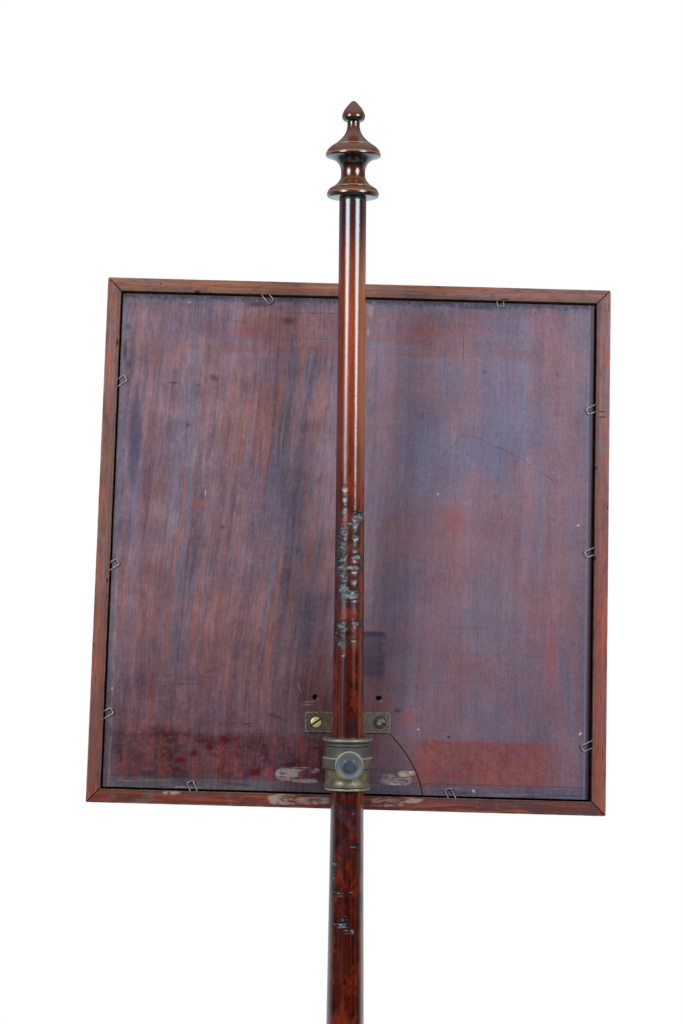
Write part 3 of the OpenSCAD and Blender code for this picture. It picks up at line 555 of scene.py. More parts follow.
collar_metal, shader, place = old_brass(
    "collar_brass", srgb(124, 116, 88), srgb(92, 95, 94), 0.7, 0.33, 0.42)
height = split(place)["Z"]
collar_foot, collar_head = (corner.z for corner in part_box("collar"))
knob_low, knob_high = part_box("screw_knob")
knob_middle = (knob_low + knob_high) / 2
band_half = 0.0048
band_low, band_top = knob_middle.z - band_half, knob_middle.z + band_half
patch = step(speckle(place, 170.0, 4.0), 0.4, 0.62)
olive = step(height, band_low + 0.001, band_low - 0.003) * patch
slate = step(height, band_top - 0.001, band_top + 0.001)
lay_over(shader, (olive * 0.55, srgb(150, 138, 88)), (slate * 0.45, srgb(96, 100, 108)))
# Painted shade: dark lines in the corners at the head, under its lip, below the band and at the
# foot
for corner, half in ((collar_head, 0.0006), (collar_head - 0.003, 0.0005),
                     (band_low - 0.0004, 0.0007), (collar_foot, 0.0006)):
    lay_over(shader, (line_at(height, corner, half) * 0.85, srgb(24, 22, 22)))
# Pale lines on the band's top edge, the head's lip and the foot: rubbed bare metal with a painted
# highlight
for edge, half, cover in ((band_top - 0.0003, 0.0006, 0.7), (collar_head + 0.0026, 0.0008, 0.4),
                          (collar_foot - 0.0013, 0.0009, 0.55)):
    lay_over(shader, (line_at(height, edge, half) * cover, srgb(206, 196, 158)))
for name, body in (("upper_bush", "carriage"), ("lower_bush", "carriage"), ("collar", "banner")):
    ring = cad_copy(name, "brass_" + name, 28)
    put_on(ring, collar_metal)
    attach(ring, body)

# Clamp screw
# A brass thumbscrew through the collar's band: a turned knob with a dished face and a button, on a
# threaded shank that presses on the pole. Tarnished blue-grey, with a pale bead at its back that is
# rubbed metal with a painted highlight.
knob_metal, shader, place = old_brass(
    "knob_brass", srgb(128, 130, 124), srgb(108, 118, 124), 0.9, 0.3, 0.4)
flat = vector("MULTIPLY", vector("SUBTRACT", place, knob_middle), (1, 0, 1))
radius = vector("LENGTH", flat)["Value"]
button_r, bead_r, bead_y = 0.0052, 0.0114, knob_low.y + 0.0043
button = step(radius, button_r + 0.003, button_r)
button *= 0.5 + step(speckle(place, 300.0), 0.35, 0.6) * 0.4
# The pale bead: rubbed metal with a painted highlight
back_bead = step(split(place)["Y"], bead_y - 0.0003, bead_y + 0.0003)
back_bead *= step(radius, bead_r - 0.0002, bead_r + 0.0002)
lay_over(shader, (button, srgb(62, 66, 82)), (back_bead * 0.8, srgb(206, 196, 160)))
for name, body in (("screw_shank", "clamp_shank"), ("screw_knob", "clamp_knob")):
    turned_brass = cad_copy(name, "brass_" + name, 28)
    put_on(turned_brass, knob_metal)
    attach(turned_brass, body)

# Hanger plate and rivets
# A T-shaped strip of sheet brass, screwed to the backboard and riveted to the collar's boss.
# It has gone greenish brown, greyer on the right, with rubbed edges and painted shade round the
# screws.
banner_lean = math.radians(7)
hang_point = Vector((0, -0.0245, 0.8918))
plate_w, plate_h, plate_pitch, head_r = 0.076, 0.018, 0.0564, 0.0048


def plate_place(place):
    """Coordinates on the plate: x across, y to the banner's front, z up, from its middle."""
    return add(place.tree, "Mapping", {"Vector": place, "Location": hang_point,
                                       "Rotation": (-banner_lean, 0, 0)}, vector_type="TEXTURE")


def from_screw(axes):
    """Distance on the plate from the nearer screw's middle."""
    round_screw = add(axes.tree, "CombineXYZ", {"X": abs(axes["X"]) - plate_pitch / 2,
                                                "Z": axes["Z"]})
    return vector("LENGTH", round_screw)["Value"]


plate_metal, shader, place = old_brass(
    "plate_brass", srgb(116, 104, 80), srgb(88, 80, 66), 0.8, 0.4, 0.25)
local = plate_place(place)
axes = split(local)
blotched = step(speckle(local, 260.0, 5.0, 0.65), 0.42, 0.6)
from_rim = calc("MINIMUM", plate_w / 2 - abs(axes["X"]), plate_h / 2 - abs(axes["Z"]))
rubbed = step(from_rim, 0.0013, 0.0004) * step(speckle(local, 330.0), 0.36, 0.58)
# Painted shade: a dark ring on the plate round each screw head
shade_round_screws = line_at(from_screw(axes), head_r + 0.0003, 0.0007)
lay_over(shader, (step(axes["X"], 0.0, 0.02) * 0.75, srgb(118, 112, 104)),
         (blotched * 0.4, srgb(70, 58, 42)), (rubbed * 0.75, srgb(160, 150, 128)),
         (shade_round_screws * 0.85, srgb(30, 24, 18)))
plate = flat_copy("hanger_plate", "brass_hanger_plate", 0.0005)
rivets = cad_copy("hanger_rivets", "plate_rivets", 28)
for piece in (plate, rivets):
    put_on(piece, plate_metal)
    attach(piece, "banner")

# Wood screws of the hanger plate
# Two slotted brass screws with dirt in their slots: the left one a bright replacement, the right
# one old and dirty, pale in the middle.
plate_t = 0.0025
for name, slot, metal, tarnish, dirt in (
        ("hanger_screw_left", "bright_brass", srgb(232, 216, 160), srgb(206, 186, 128),
         srgb(104, 70, 30)),
        ("hanger_screw_right", "dull_brass", srgb(122, 116, 106), srgb(94, 90, 82),
         srgb(100, 94, 86))):
    head_metal, shader, place = old_brass("screw_" + slot, metal, tarnish, 0.45, 0.34, 0.25)
    axes = split(plate_place(place))
    radius = from_screw(axes)
    # Dirt in the slot, and painted shade darkening the rim of the head, joining the ring on the
    # plate
    lay_over(shader, (step(axes["Y"], 0.00005 - plate_t, 0.0002 - plate_t), dirt),
             (step(radius, head_r - 0.0004, head_r) * 0.85, srgb(44, 38, 34)))
    if slot == "dull_brass":
        lay_over(shader, (line_at(radius, 0.0038, 0.0006) * 0.85, srgb(34, 30, 28)),
                 (step(radius, 0.002, 0.0013) * 0.8, srgb(206, 206, 200)),
                 (step(radius, 0.0007, 0.0003) * 0.7, srgb(62, 58, 54)))
    screw = cad_copy(name, "slotted_" + name, 28)
    put_on(screw, head_metal)
    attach(screw, "banner")

# Frame
# Four mitred mahogany rails round the banner, rebated for its layers and moulded in front.
# The back is unpolished and faded, with orange streaks along the grain and knocks at the edges.
board_point, banner_skew = Vector((0, -0.0242, 0.8943)), math.radians(1)
banner_frame = (Matrix.Translation(board_point) @ Matrix.Rotation(-banner_lean, 4, "X")
                @ Matrix.Rotation(banner_skew, 4, "Y"))
frame_half_w, frame_half_h, banner_middle = 0.230, 0.238, 0.159


def banner_place(place):
    """Coordinates on the banner: x across, y to its front, z up, from just above the plate."""
    return add(place.tree, "Mapping", {"Vector": place, "Location": board_point,
                                       "Rotation": banner_frame.to_euler()}, vector_type="TEXTURE")


# A mark on the banner's back: 1 inside a ragged oval, or a squarer one where corners is 1, that is
# turned by an angle and soft at its rim
mark, given, gives = new_group(
    "mark", [("Vector", "Vector"), ("Centre", "Vector"), ("Angle", "Float"), ("Half", "Vector"),
             ("Ragged", "Float"), ("Core", "Float"), ("Corners", "Float")], [("Mask", "Float")])
turned_to = add(mark, "VectorRotate", {
    "Vector": vector("SUBTRACT", given["Vector"], given["Centre"]), "Angle": given["Angle"]},
    rotation_type="Y_AXIS")
flat = vector("MULTIPLY", vector("DIVIDE", turned_to, given["Half"]), (1, 0, 1))
oval = vector("LENGTH", flat)["Value"]
boxy = calc("SQRT", vector("LENGTH", vector("MULTIPLY", flat, flat))["Value"])
distance = oval + given["Corners"] * (boxy - oval)
fray = (speckle(given["Vector"], 130.0, 5.0, 0.65) - 0.5) * given["Ragged"]
feed(gives, {"Mask": step(distance + fray, 1.0, given["Core"])})


def marks(place, spots, ragged, core, corners=0.0):
    """The union of marks: each is x and z of its middle, half length, half width and angle, in
    millimetres and degrees."""
    total = 0.0
    for x, z, half_length, half_width, angle in spots:
        spot = add(place.tree, "Group", {
            "Vector": place, "Centre": (x / 1000, 0, z / 1000), "Angle": math.radians(angle),
            "Half": (half_length / 1000, 1, half_width / 1000), "Ragged": ragged, "Core": core,
            "Corners": corners}, node_tree=mark)
        total = calc("MAXIMUM", total, spot)
    return total


def stretched(place, across, along, scale):
    """Noise drawn out across or along a piece, from 0 to 1."""
    return speckle(vector("MULTIPLY", place, (across, 1, along)), scale, 4.0, 0.6)


def old_film(place, spots):
    """Pale scraped remains of paper and glue, streaky and broken, inside some marks."""
    streaky = step(stretched(place, 0.22, 1.0, 330.0), 0.38, 0.54)
    broken = step(speckle(place, 210.0, 5.0, 0.7), 0.32, 0.52)
    return marks(place, spots, 0.8, 0.75, 1.0) * streaky * broken


def rail_wood(name, grain_turn, dark, middle, bright, knocks, films, fading):
    """Faded mahogany of one rail, its grain turned to run along it, with knocks and pale films.
    Fading is another colour, the axis along which it sets in, and where it starts and is full."""
    material, shader, place = new_material(name)
    local = banner_place(place)
    axes = split(local)
    along = add(place.tree, "VectorRotate", {"Vector": local, "Angle": grain_turn},
                rotation_type="Y_AXIS")
    grain = grain_in(along, 170.0, 620.0)
    patchy = step(speckle(local, 25.0, 5.0), 0.35, 0.65)
    mottled = speckle(along, 95.0, 5.0, 0.65)
    strands = stretched(along, 1.0, 0.07, 250.0)
    edge_slack = 0.0002
    to_side = frame_half_w + edge_slack - abs(axes["X"])
    to_end = frame_half_h + edge_slack - abs(axes["Z"] - banner_middle)
    from_edge = calc("MINIMUM", to_side, to_end)
    outer = 0.3 + step(from_edge, 0.009, 0.003) * 0.4
    flecked = step(stretched(along, 1.0, 0.1, 800.0), 0.55, 0.67)
    shade, axis, start, full = fading
    bloom = step(speckle(local, 60.0, 5.0), 0.5, 0.7) * step(axes[axis], full, start)
    rubbed = step(from_edge, 0.0016, 0.0004) * step(axes["Y"], -0.0012, -0.0026)
    rubbed *= step(speckle(local, 90.0, 4.0), 0.4, 0.6)
    arris = line_at(from_edge, 0.0122, 0.0007) * step(mottled, 0.4, 0.55)
    colour = layered(
        mix(grain["Bands"], dark, middle), (patchy * 0.4, bright),
        (step(axes[axis], start, full) * 0.75, shade),
        (step(mottled, 0.46, 0.32) * 0.5, srgb(92, 66, 76)),
        (step(strands, 0.47, 0.36) * 0.5, srgb(98, 72, 82)),
        (step(strands, 0.5, 0.62) * outer, srgb(178, 86, 48)),
        (step(mottled, 0.54, 0.7) * 0.4, srgb(166, 88, 58)), (grain["Lines"] * 0.45, dark),
        (flecked * 0.6, srgb(62, 40, 42)), (bloom * 0.45, srgb(112, 102, 112)),
        (rubbed * 0.5, srgb(196, 162, 144)), (arris * 0.4, srgb(150, 138, 110)),
        (step(from_edge, 0.0088, 0.0112) * 0.35, srgb(52, 36, 34)),
        (marks(local, knocks, 0.8, 0.5), srgb(22, 14, 14)))
    if films:
        on_back = step(axes["Y"], 0.004, 0.002) * 0.8
        colour = mix(old_film(local, films) * on_back, colour, srgb(168, 152, 148))
    feed(shader, {"Base Color": colour, "Roughness": 0.6, "Specular IOR Level": 0.3,
                  "Normal": bumps(grain["Lines"] + flecked, 0.35, -0.0003)})
    return material


def close_mitres(rail, side):
    """Draws a rail's ends together in front, so that no light shows through its open mitres."""
    moulding_y, mitre_gap, drawn_by = 0.006, 0.0011, 0.0006
    for vertex in rail.data.vertices:
        spot = banner_frame.inverted() @ vertex.co
        from_side = abs(spot.x) - frame_half_w
        from_end = abs(spot.z - banner_middle) - frame_half_h
        if spot.y > moulding_y and abs(from_side - from_end) < mitre_gap:
            if side in ("top", "bottom"):
                spot.x += math.copysign(drawn_by, spot.x)
            else:
                spot.z += math.copysign(drawn_by, spot.z - banner_middle)
            vertex.co = banner_frame @ spot


# Each rail: how its grain is turned, its dark, middle and bright colours, knocks, films and fading
quarter = math.pi / 2
rails = {
    "top": (quarter, srgb(104, 70, 60), srgb(146, 107, 90), srgb(168, 115, 90),
            [(-181.6, 392, 0.9, 0.9, 0), (-148, 385.5, 4, 1.2, 0), (133, 385.8, 5, 1.2, 0),
             (72, 395, 1.2, 1, 0)], [], (srgb(136, 103, 104), "X", -0.02, 0.12)),
    "bottom": (quarter, srgb(80, 32, 26), srgb(114, 58, 48), srgb(140, 70, 50),
               [(118, -72, 1, 1, 0)],
               [(-56, -72, 14, 5, 0), (-34, -72.5, 20, 3.4, 1), (38, -72, 15, 4.4, 0),
                (56, -70, 14, 2.6, 1), (-154, -69, 9, 1.6, 0)],
               (srgb(92, 60, 66), "X", 0.0, 0.1)),
    "left": (0.0, srgb(96, 62, 58), srgb(140, 102, 94), srgb(158, 100, 78),
             [(-219, 336, 1.4, 4, 0), (-219, 118, 1, 3, 0), (-229, 60, 1, 2, 0)], [],
             (srgb(110, 50, 40), "Z", 0.2, -0.04)),
    "right": (0.0, srgb(102, 70, 74), srgb(142, 110, 114), srgb(150, 100, 94),
              [(223, 284, 5.5, 0.6, -3), (223, 279, 5.5, 0.6, 2), (229, 196, 1.2, 1.6, 0),
               (218.5, 150, 1, 3, 0), (218.5, 232, 1, 2, 0)], [],
              (srgb(146, 58, 34), "Z", 0.27, 0.06)),
}
for side, finish in rails.items():
    rail = flat_copy("frame_" + side, "frame_rail_" + side, 0.0006)
    close_mitres(rail, side)
    put_on(rail, rail_wood("rail_mahogany_" + side, *finish))
    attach(rail, "banner")

# Mitre pins
# Four headless iron pins, driven through the mitres from the top and bottom edges and left a
# little below the surface. The same browned iron as the plate under the pillar.
pins = cad_copy("mitre_pins", "iron_mitre_pins", 30)
put_on(pins, iron)
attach(pins, "banner")

# Glass
# A thin pane of old glass, cut to the frame's rebate and laid in it before the needlework.
# It is clear and a little rippled.
glass, shader, place = new_material("old_pane")
feed(shader, {"Base Color": (0.95, 0.98, 0.96, 1), "Roughness": 0.02, "IOR": 1.45,
              "Transmission Weight": 1.0, "Normal": bumps(speckle(place, 9.0, 1.0), 0.05, 0.002)})
pane = flat_copy("glass", "glass_pane", 0.0002)
put_on(pane, glass)
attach(pane, "banner")

# Needlework
# Wool worked on canvas in tent stitch, in a plain diamond trellis with a small sprig in each
# diamond, stretched over the strainer board.
cloth_w, cloth_h, cloth_t, cloth_y = 0.4316, 0.4476, 0.0008, 0.0117
bpy.ops.object.select_all(action="DESELECT")
bpy.ops.mesh.primitive_grid_add(x_subdivisions=90, y_subdivisions=90, size=1)
cloth = bpy.context.active_object
cloth.name = "stretched_needlework"
for vertex in cloth.data.vertices:
    x, z = vertex.co.x * cloth_w, vertex.co.y * cloth_h
    cockle = 0.00018 * noise.noise(Vector((x * 30, z * 30, 0)))
    vertex.co = banner_frame @ Vector((x, cloth_y + cockle, z + banner_middle))
select_only(cloth)
bpy.ops.object.mode_set(mode="EDIT")
bpy.ops.mesh.select_all(action="SELECT")
bpy.ops.mesh.normals_make_consistent(inside=False)
bpy.ops.object.mode_set(mode="OBJECT")
thick = cloth.modifiers.new("canvas", "SOLIDIFY")
thick.thickness = cloth_t
thick.offset = 0
bpy.ops.object.modifier_apply(modifier=thick.name)
bpy.ops.object.shade_smooth_by_angle(angle=math.radians(40))

wool, shader, place = new_material("tent_stitch_wool")
local = banner_place(place)
stitch, trellis = 0.0016, 0.036
cell = vector("SNAP", local, (stitch, 1, stitch))
sides = split(cell)
# Zigzags from 0 to 1 along the trellis's two diagonals
rising = calc("PINGPONG", (sides["X"] + sides["Z"]) / trellis, 1.0)
falling = calc("PINGPONG", (sides["X"] - sides["Z"]) / trellis, 1.0)
bars = calc("MINIMUM", rising, falling)
far = calc("MAXIMUM", 1.0 - rising, 1.0 - falling)
colour = layered(
    mix(step(speckle(cell, 40.0), 0.4, 0.6), srgb(176, 158, 122), srgb(160, 142, 108)),
    (calc("LESS_THAN", bars, 0.1), srgb(92, 104, 76)),
    (calc("LESS_THAN", far, 0.42), srgb(104, 114, 82)),
    (calc("LESS_THAN", far, 0.3), srgb(150, 78, 72)),
    (calc("LESS_THAN", far, 0.13), srgb(196, 168, 104)),
    (speckle(local, 2600.0, 2.0) * 0.35, srgb(84, 72, 58)))
within = split(vector("MODULO", local, (stitch, 1, stitch)))
slope = abs(within["X"]) - abs(within["Z"])
feed(shader, {"Base Color": colour, "Roughness": 0.9, "Sheen Weight": 0.3,
              "Normal": bumps(1.0 - abs(slope) / stitch, 0.8, 0.0006)})
put_on(cloth, wool)
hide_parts("needlework")
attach(cloth, "banner")

# Strainer board
# A thin pine board that the needlework is stretched over, bare wood, closed in by the backboard.
# It lies loose in the rebate.
pine, shader, place = new_material("strainer_pine")
grain = grain_in(banner_place(place), 60.0, 300.0)
colour = mix(grain["Bands"], srgb(196, 164, 116), srgb(172, 134, 88))
feed(shader, {"Base Color": mix(grain["Lines"] * 0.3, colour, srgb(140, 102, 62)),
              "Roughness": 0.75})
strainer = flat_copy("strainer_board", "pine_strainer_board", 0.0003)
put_on(strainer, pine)
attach(strainer, "banner")

# Backboard
# One wide mahogany board, stained, never polished, dulled by a violet bloom. Streaks show through
# along the grain, two bands are rubbed cleaner, and knocks, films and a crack mark its lower edge.
board_wood, shader, place = new_material("backboard_mahogany")
local = banner_place(place)
x, y, z = (split(local)[axis] for axis in "XYZ")
board_half_w, board_top, board_foot = 0.2159, 0.3829, -0.0649
figure_x, arch_bend = 0.112, 0.03
edge_low = z - board_foot
from_figure = x - figure_x
arched = from_figure * from_figure + (edge_low + 0.015) * arch_bend
drift = (speckle(local, 3.5, 2.0) - 0.5) * 0.02
left_half = step(x, 0.05, -0.03)
swept = drift - from_figure + (calc("SQRT", arched) + from_figure) * left_half
wander = add(place.tree, "CombineXYZ", {"X": swept, "Z": z})
elsewhere = vector("ADD", wander, (3.0, 0, 7.0))
broad = step(stretched(wander, 1.0, 0.05, 38.0), 0.4, 0.6)
streaks = step(stretched(wander, 1.0, 0.03, 190.0), 0.48, 0.66)
dark_streaks = step(stretched(elsewhere, 1.0, 0.04, 120.0), 0.48, 0.64)
fine = stretched(wander, 1.0, 0.05, 640.0)
dashes = stretched(elsewhere, 1.0, 0.15, 430.0)
wiped = step(stretched(local, 0.06, 1.0, 420.0), 0.46, 0.64)
cloud = step(speckle(local, 10.0, 6.0), 0.42, 0.62)
other_cloud = step(speckle(elsewhere, 15.0, 6.0), 0.44, 0.62)
mottle = speckle(local, 240.0, 6.0, 0.7)
# The left half is browner and streaked, the right half more violet and smooth
right_half = 1.0 - left_half
colour = layered(
    mix(right_half, srgb(122, 104, 116), srgb(124, 112, 132)),
    (broad * (0.7 - right_half * 0.35), srgb(140, 94, 94)),
    (streaks * (0.2 + left_half * 0.65), srgb(164, 92, 64)),
    (dark_streaks * (0.2 + left_half * 0.4), srgb(74, 62, 84)),
    (cloud * 0.45, srgb(98, 100, 130)), (other_cloud * 0.4, srgb(146, 100, 102)))
# Arched figure of the plain-sawn half, right of the pole
arch_place = add(place.tree, "CombineXYZ", {"X": x * 0.5, "Z": arched * 23.0})
figure = step(speckle(arch_place, 14.0, 3.0), 0.46, 0.6) * step(x, 0.04, 0.09)
colour = mix(figure * 0.45, colour, srgb(146, 100, 108))
# Rubbed bands above and below, and a dark red lower left corner
upper_band, lower_band = 0.331, -0.0165
smear = step(stretched(local, 0.1, 1.0, 110.0), 0.35, 0.6)
upper = step(z, upper_band - 0.002, upper_band + 0.002)
upper *= step(x, 0.2, 0.12) * step(x, -0.19, -0.1)
lower_right = step(z, lower_band + 0.0025, lower_band - 0.0025)
lower_right *= step(x, 0.045, 0.075) * step(x, 0.2, 0.165)
reddened = 0.5 + step(speckle(local, 110.0, 6.0, 0.7), 0.36, 0.64) * 0.4
violet_spots = step(speckle(local, 62.0, 5.0, 0.65), 0.53, 0.66)
dim_left = step(z, 0.11, -0.03) * step(x, 0.07, -0.02)
settled = step(z + (cloud - 0.5) * 0.006, lower_band + 0.006, lower_band - 0.003)
crimson = settled * step(x, 0.03, -0.02)
murky = step(speckle(local, 36.0, 3.0, 0.6), 0.45, 0.6)
greyed = step(stretched(local, 0.3, 1.0, 90.0), 0.5, 0.64)
redder = crimson * (0.2 + step(x, -0.18, -0.1) * 0.5)
colour = layered(
    colour, (upper * smear * 0.45, srgb(136, 78, 72)), (lower_right * reddened, srgb(148, 68, 56)),
    (violet_spots * lower_right * 0.5, srgb(92, 66, 84)), (dim_left * 0.5, srgb(88, 44, 50)),
    (crimson * 0.45, srgb(88, 24, 28)), (redder * streaks, srgb(162, 56, 34)),
    (crimson * murky * 0.75, srgb(56, 16, 22)), (crimson * greyed * 0.4, srgb(98, 88, 100)))
# Blue bloom along the edges, pale blue streaks down both sides, and horizontal wiping marks
edge_x = board_half_w - abs(x)
edge_top = board_top - z
near_edge = calc("MINIMUM", edge_x, calc("MINIMUM", edge_low, edge_top))
waver = (mottle - 0.5) * 0.03
border = step(near_edge + waver, 0.015, 0.002)
pale_streaks = [(168, 200, 7, 120, 0), (150, 250, 9, 60, 0), (-198, 160, 8, 150, 0),
                (62, 230, 16, 70, 0)]
blue_strip = step(edge_low + waver * 0.5, 0.0105, 0.007) * step(abs(x), 0.02, 0.11)
scraped = stretched(local, 0.08, 1.0, 330.0)
strip_tint = mix(step(x, -0.05, 0.1), srgb(92, 100, 104), srgb(86, 94, 118))
worn_side = line_at(x + board_half_w, 0.0052, 0.0018) * step(z, 0.17, 0.12)
worn_side *= step(stretched(local, 1.0, 0.25, 160.0), 0.4, 0.58)
strip_line = line_at(edge_low, 0.0102, 0.0009) * step(mottle, 0.4, 0.55)
# Painted shadow: a dark band along the board's top edge, under the top rail
shadow_under_top_rail = step(edge_top + waver * 0.4, 0.0065, 0.001)
colour = layered(
    colour, (border * 0.6, srgb(90, 98, 120)),
    (marks(local, pale_streaks, 0.8, 0.0) * 0.5, srgb(118, 118, 146)),
    (blue_strip * 0.55, strip_tint),
    (blue_strip * step(scraped, 0.54, 0.66) * 0.5, srgb(160, 134, 108)),
    (blue_strip * step(scraped, 0.46, 0.36) * 0.6, srgb(40, 40, 50)),
    (worn_side * 0.6, srgb(160, 118, 96)), (strip_line * 0.5, srgb(40, 30, 38)),
    (shadow_under_top_rail * 0.65, srgb(38, 32, 40)), (wiped * (0.06 + right_half * 0.08), srgb(92, 84, 104)))
# Fine grain, pores and patina, and painted shade that darkens the board towards the bottom
pores = step(dashes, 0.57, 0.7)
colour = layered(colour, (pores * 0.5, srgb(62, 44, 52)),
                 (step(mottle, 0.42, 0.68) * 0.2, srgb(158, 134, 142)))
# Painted shade: the tone darkens towards the bottom, below the lamps
shaded_lower_down = step(z, 0.3, -0.03)
tone = mix(shaded_lower_down, (0.89, 0.99, 1.02, 1), (0.72, 0.7, 0.72, 1))
tone = mix(crimson, tone, (0.68, 0.63, 0.65, 1))
calm = 1.05 - right_half * 0.5
for grains, depth in ((fine, calm * 0.9), (dashes, calm),
                      (stretched(elsewhere, 1.0, 0.05, 85.0), calm * 0.8),
                      (speckle(local, 26.0, 6.0, 0.65), calm * 1.3),
                      (speckle(local, 460.0, 4.0, 0.65), 0.15 + right_half * 0.4)):
    tone = mix(1.0, tone, 1.0 + (grains - 0.5) * depth, "MULTIPLY")
colour = mix(1.0, colour, tone, "MULTIPLY")
# Stains, knocks, films and scratches, in millimetres
blushes = [(92, 180, 14, 20, 0), (52, 2, 10, 16, -20), (32, 14, 14, 12, 0), (-138, 190, 16, 8, 0),
           (-100, 350, 30, 8, 0), (60, 352, 40, 9, 0), (180, 60, 8, 40, 0)]
red_stains = [(-110, -20, 6, 3.4, -10), (-81, -49, 7, 5, 20), (-160, -18, 4, 3, 0),
              (90, -13, 2, 2, 0), (-136, -33, 6, 4, 40), (-148, -40, 8, 4, 0), (-122, -28, 5, 5, 0)]
dark_stains = [(-150, -30, 9, 5, 30), (-119, -34, 9, 4, -15), (-186, -38, 8, 6, 0),
               (-174, -52, 12, 3, 0), (-64, 361, 11, 6, 0), (-130, 307, 7, 5, -30),
               (-144, 299, 4, 1.8, 0), (-167, 301, 6, 1.8, 0), (44, 9, 5, 3, 0),
               (182, 318, 3, 1.6, -50), (116, 318, 2.4, 1.4, -30), (-118, 170, 3, 3, 0),
               (-152, 262, 3, 4, 0), (-92, 376, 16, 4, 0), (110, 378, 30, 3, 0),
               (-212, 330, 2.5, 18, 0), (-210, 352, 4, 5, 0), (-208, 318, 5, 6, 20)]
smudges = [(-200, 250, 8, 60, 0)]
films = [(-52, -50, 11, 7, 0), (-40, -46, 17, 3.2, 1), (-36, -55, 12, 2.2, -2),
         (44, -52, 15, 5.4, 0), (54, -46, 8, 2.4, 2)]
torn_holes = [(-29.9, 19.8, 2.7, 2.3, 40), (28.0, 20.2, 2.5, 2.3, 30)]
hole_chips = [(-27.6, 17.9, 1.3, 1.0, -30), (29.6, 17.0, 1.8, 1.0, -40)]
flecks = [(-155, 376, 1.2, 1.2, 0), (113, -60, 2.6, 1.5, -50), (207, -7, 2.2, 1.4, 40),
          (63, -7, 1.3, 0.9, 0), (-134, 200, 0.5, 4, -6), (50, -47, 6, 2.4, -5),
          (43, -56, 7, 1.2, 0), (57, -45, 2, 1.6, 0), (76, 205, 1.6, 1.6, 0),
          (-211, 22, 1.2, 2, 0), (203, 180, 2, 1, 0)]
tan_chips = [(11, 372, 4, 9, 0), (9, 352, 2, 8, 0), (-38, 12, 9, 0.9, 4), (-34, 15, 11, 0.7, 8),
             (-44, 27, 0.7, 8, 25), (-212, 384, 5, 1, 0), (-140, -63.5, 20, 1, 0)]
scuffs = [(-150, 30, 34, 9, -3), (-124, 35, 16, 8, 14), (-96, -8, 50, 5, 0), (-66, 1, 24, 5, 5)]
scratches = [(-102, -6.5, 26, 0.7, 2), (-146, 28, 24, 0.6, 1), (-124, 40, 10, 0.8, 24),
             (96.5, 340, 0.4, 33, 0), (-40, 369, 50, 0.5, 1), (-20, 345, 40, 0.5, 0)]
# A dark blue square patch beside the pole, right of it and just above the plate
frayed = x + (greyed - 0.5) * 0.006
square = step(frayed, 0.031, 0.0265) * step(x, 0.0, 0.006)
square *= step(z, 0.08, 0.0782) * step(z, 0.026, 0.048)
scratched = marks(local, scratches, 0.5, 0.3) * step(speckle(local, 110.0, 4.0), 0.38, 0.55)
jolted = z + (speckle(local, 45.0, 3.0) - 0.5) * 0.012
scuff_place = add(place.tree, "CombineXYZ", {"X": x, "Y": y, "Z": jolted})
scuff_lines = stretched(scuff_place, 0.1, 1.0, 400.0)
scuffed_board = marks(local, scuffs, 1.0, 0.2)
colour = layered(
    colour, (marks(local, blushes, 1.2, 0.0) * 0.5, srgb(146, 76, 72)),
    (marks(local, red_stains, 0.9, 0.3) * 0.9, srgb(82, 4, 3)),
    (marks(local, dark_stains, 1.6, 0.1) * 0.6, srgb(44, 38, 50)),
    (marks(local, smudges, 0.8, 0.4) * 0.6, srgb(52, 54, 80)),
    (square * (0.4 + smear * 0.4), srgb(44, 50, 72)),
    (old_film(local, films) * 0.85, srgb(158, 144, 148)),
    (marks(local, flecks, 1.4, 0.4) * 0.7, srgb(200, 184, 158)),
    (marks(local, hole_chips, 0.8, 0.4) * 0.6, srgb(176, 150, 126)),
    (marks(local, torn_holes, 0.9, 0.7), srgb(12, 8, 9)),
    (marks(local, tan_chips, 1.6, 0.2) * 0.5, srgb(174, 142, 120)),
    (scratched * 0.65, srgb(52, 30, 36)),
    (scuffed_board * step(scuff_lines, 0.54, 0.62) * 0.6, srgb(66, 26, 28)),
    (scuffed_board * step(scuff_lines, 0.4, 0.34) * 0.4, srgb(140, 104, 104)))


def thin_line(across, along, start, slope, bend, length, width):
    """A line along a curve: across = start + slope t + bend t squared, from t = 0 to its length."""
    off = abs(across - start - along * (slope + along * bend))
    ends = step(along, -0.0005, 0.0005) * step(along, length + 0.001, length)
    return step(off, width, width * 0.3) * ends


cracked = thin_line(x, -0.012 - z, 0.038, 0.98, -7.9, 0.054, 0.0009)
unsteady = z + (speckle(local, 60.0) - 0.5) * 0.008
scar_x, scar_z = 0.0994, 0.2608
scar = thin_line(unsteady, x - scar_x, scar_z, -0.3, -2.6, 0.087, 0.0008)
scar_left = thin_line(unsteady, scar_x - x, scar_z, -0.9, -6.0, 0.02, 0.0008)
# The planed edge on the right is dirty bare wood, beside a thin blue line
planed_x = 0.212
colour = layered(
    colour, (calc("MAXIMUM", scar, scar_left) * 0.35, srgb(82, 40, 46)), (cracked, srgb(18, 8, 8)),
    (line_at(x, planed_x - 0.0012, 0.001) * 0.5, srgb(104, 118, 150)),
    (step(x, planed_x - 0.0004, planed_x + 0.0004) * 0.9, srgb(84, 70, 80)))
relief = (fine + pores) * 0.4 + scratched + cracked
feed(shader, {"Base Color": colour, "Roughness": 0.55, "Specular IOR Level": 0.15,
              "Normal": bumps(relief, 0.35, -0.0003)})
board = flat_copy("backboard", "mahogany_backboard", 0.0005)
put_on(board, board_wood)
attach(board, "banner")

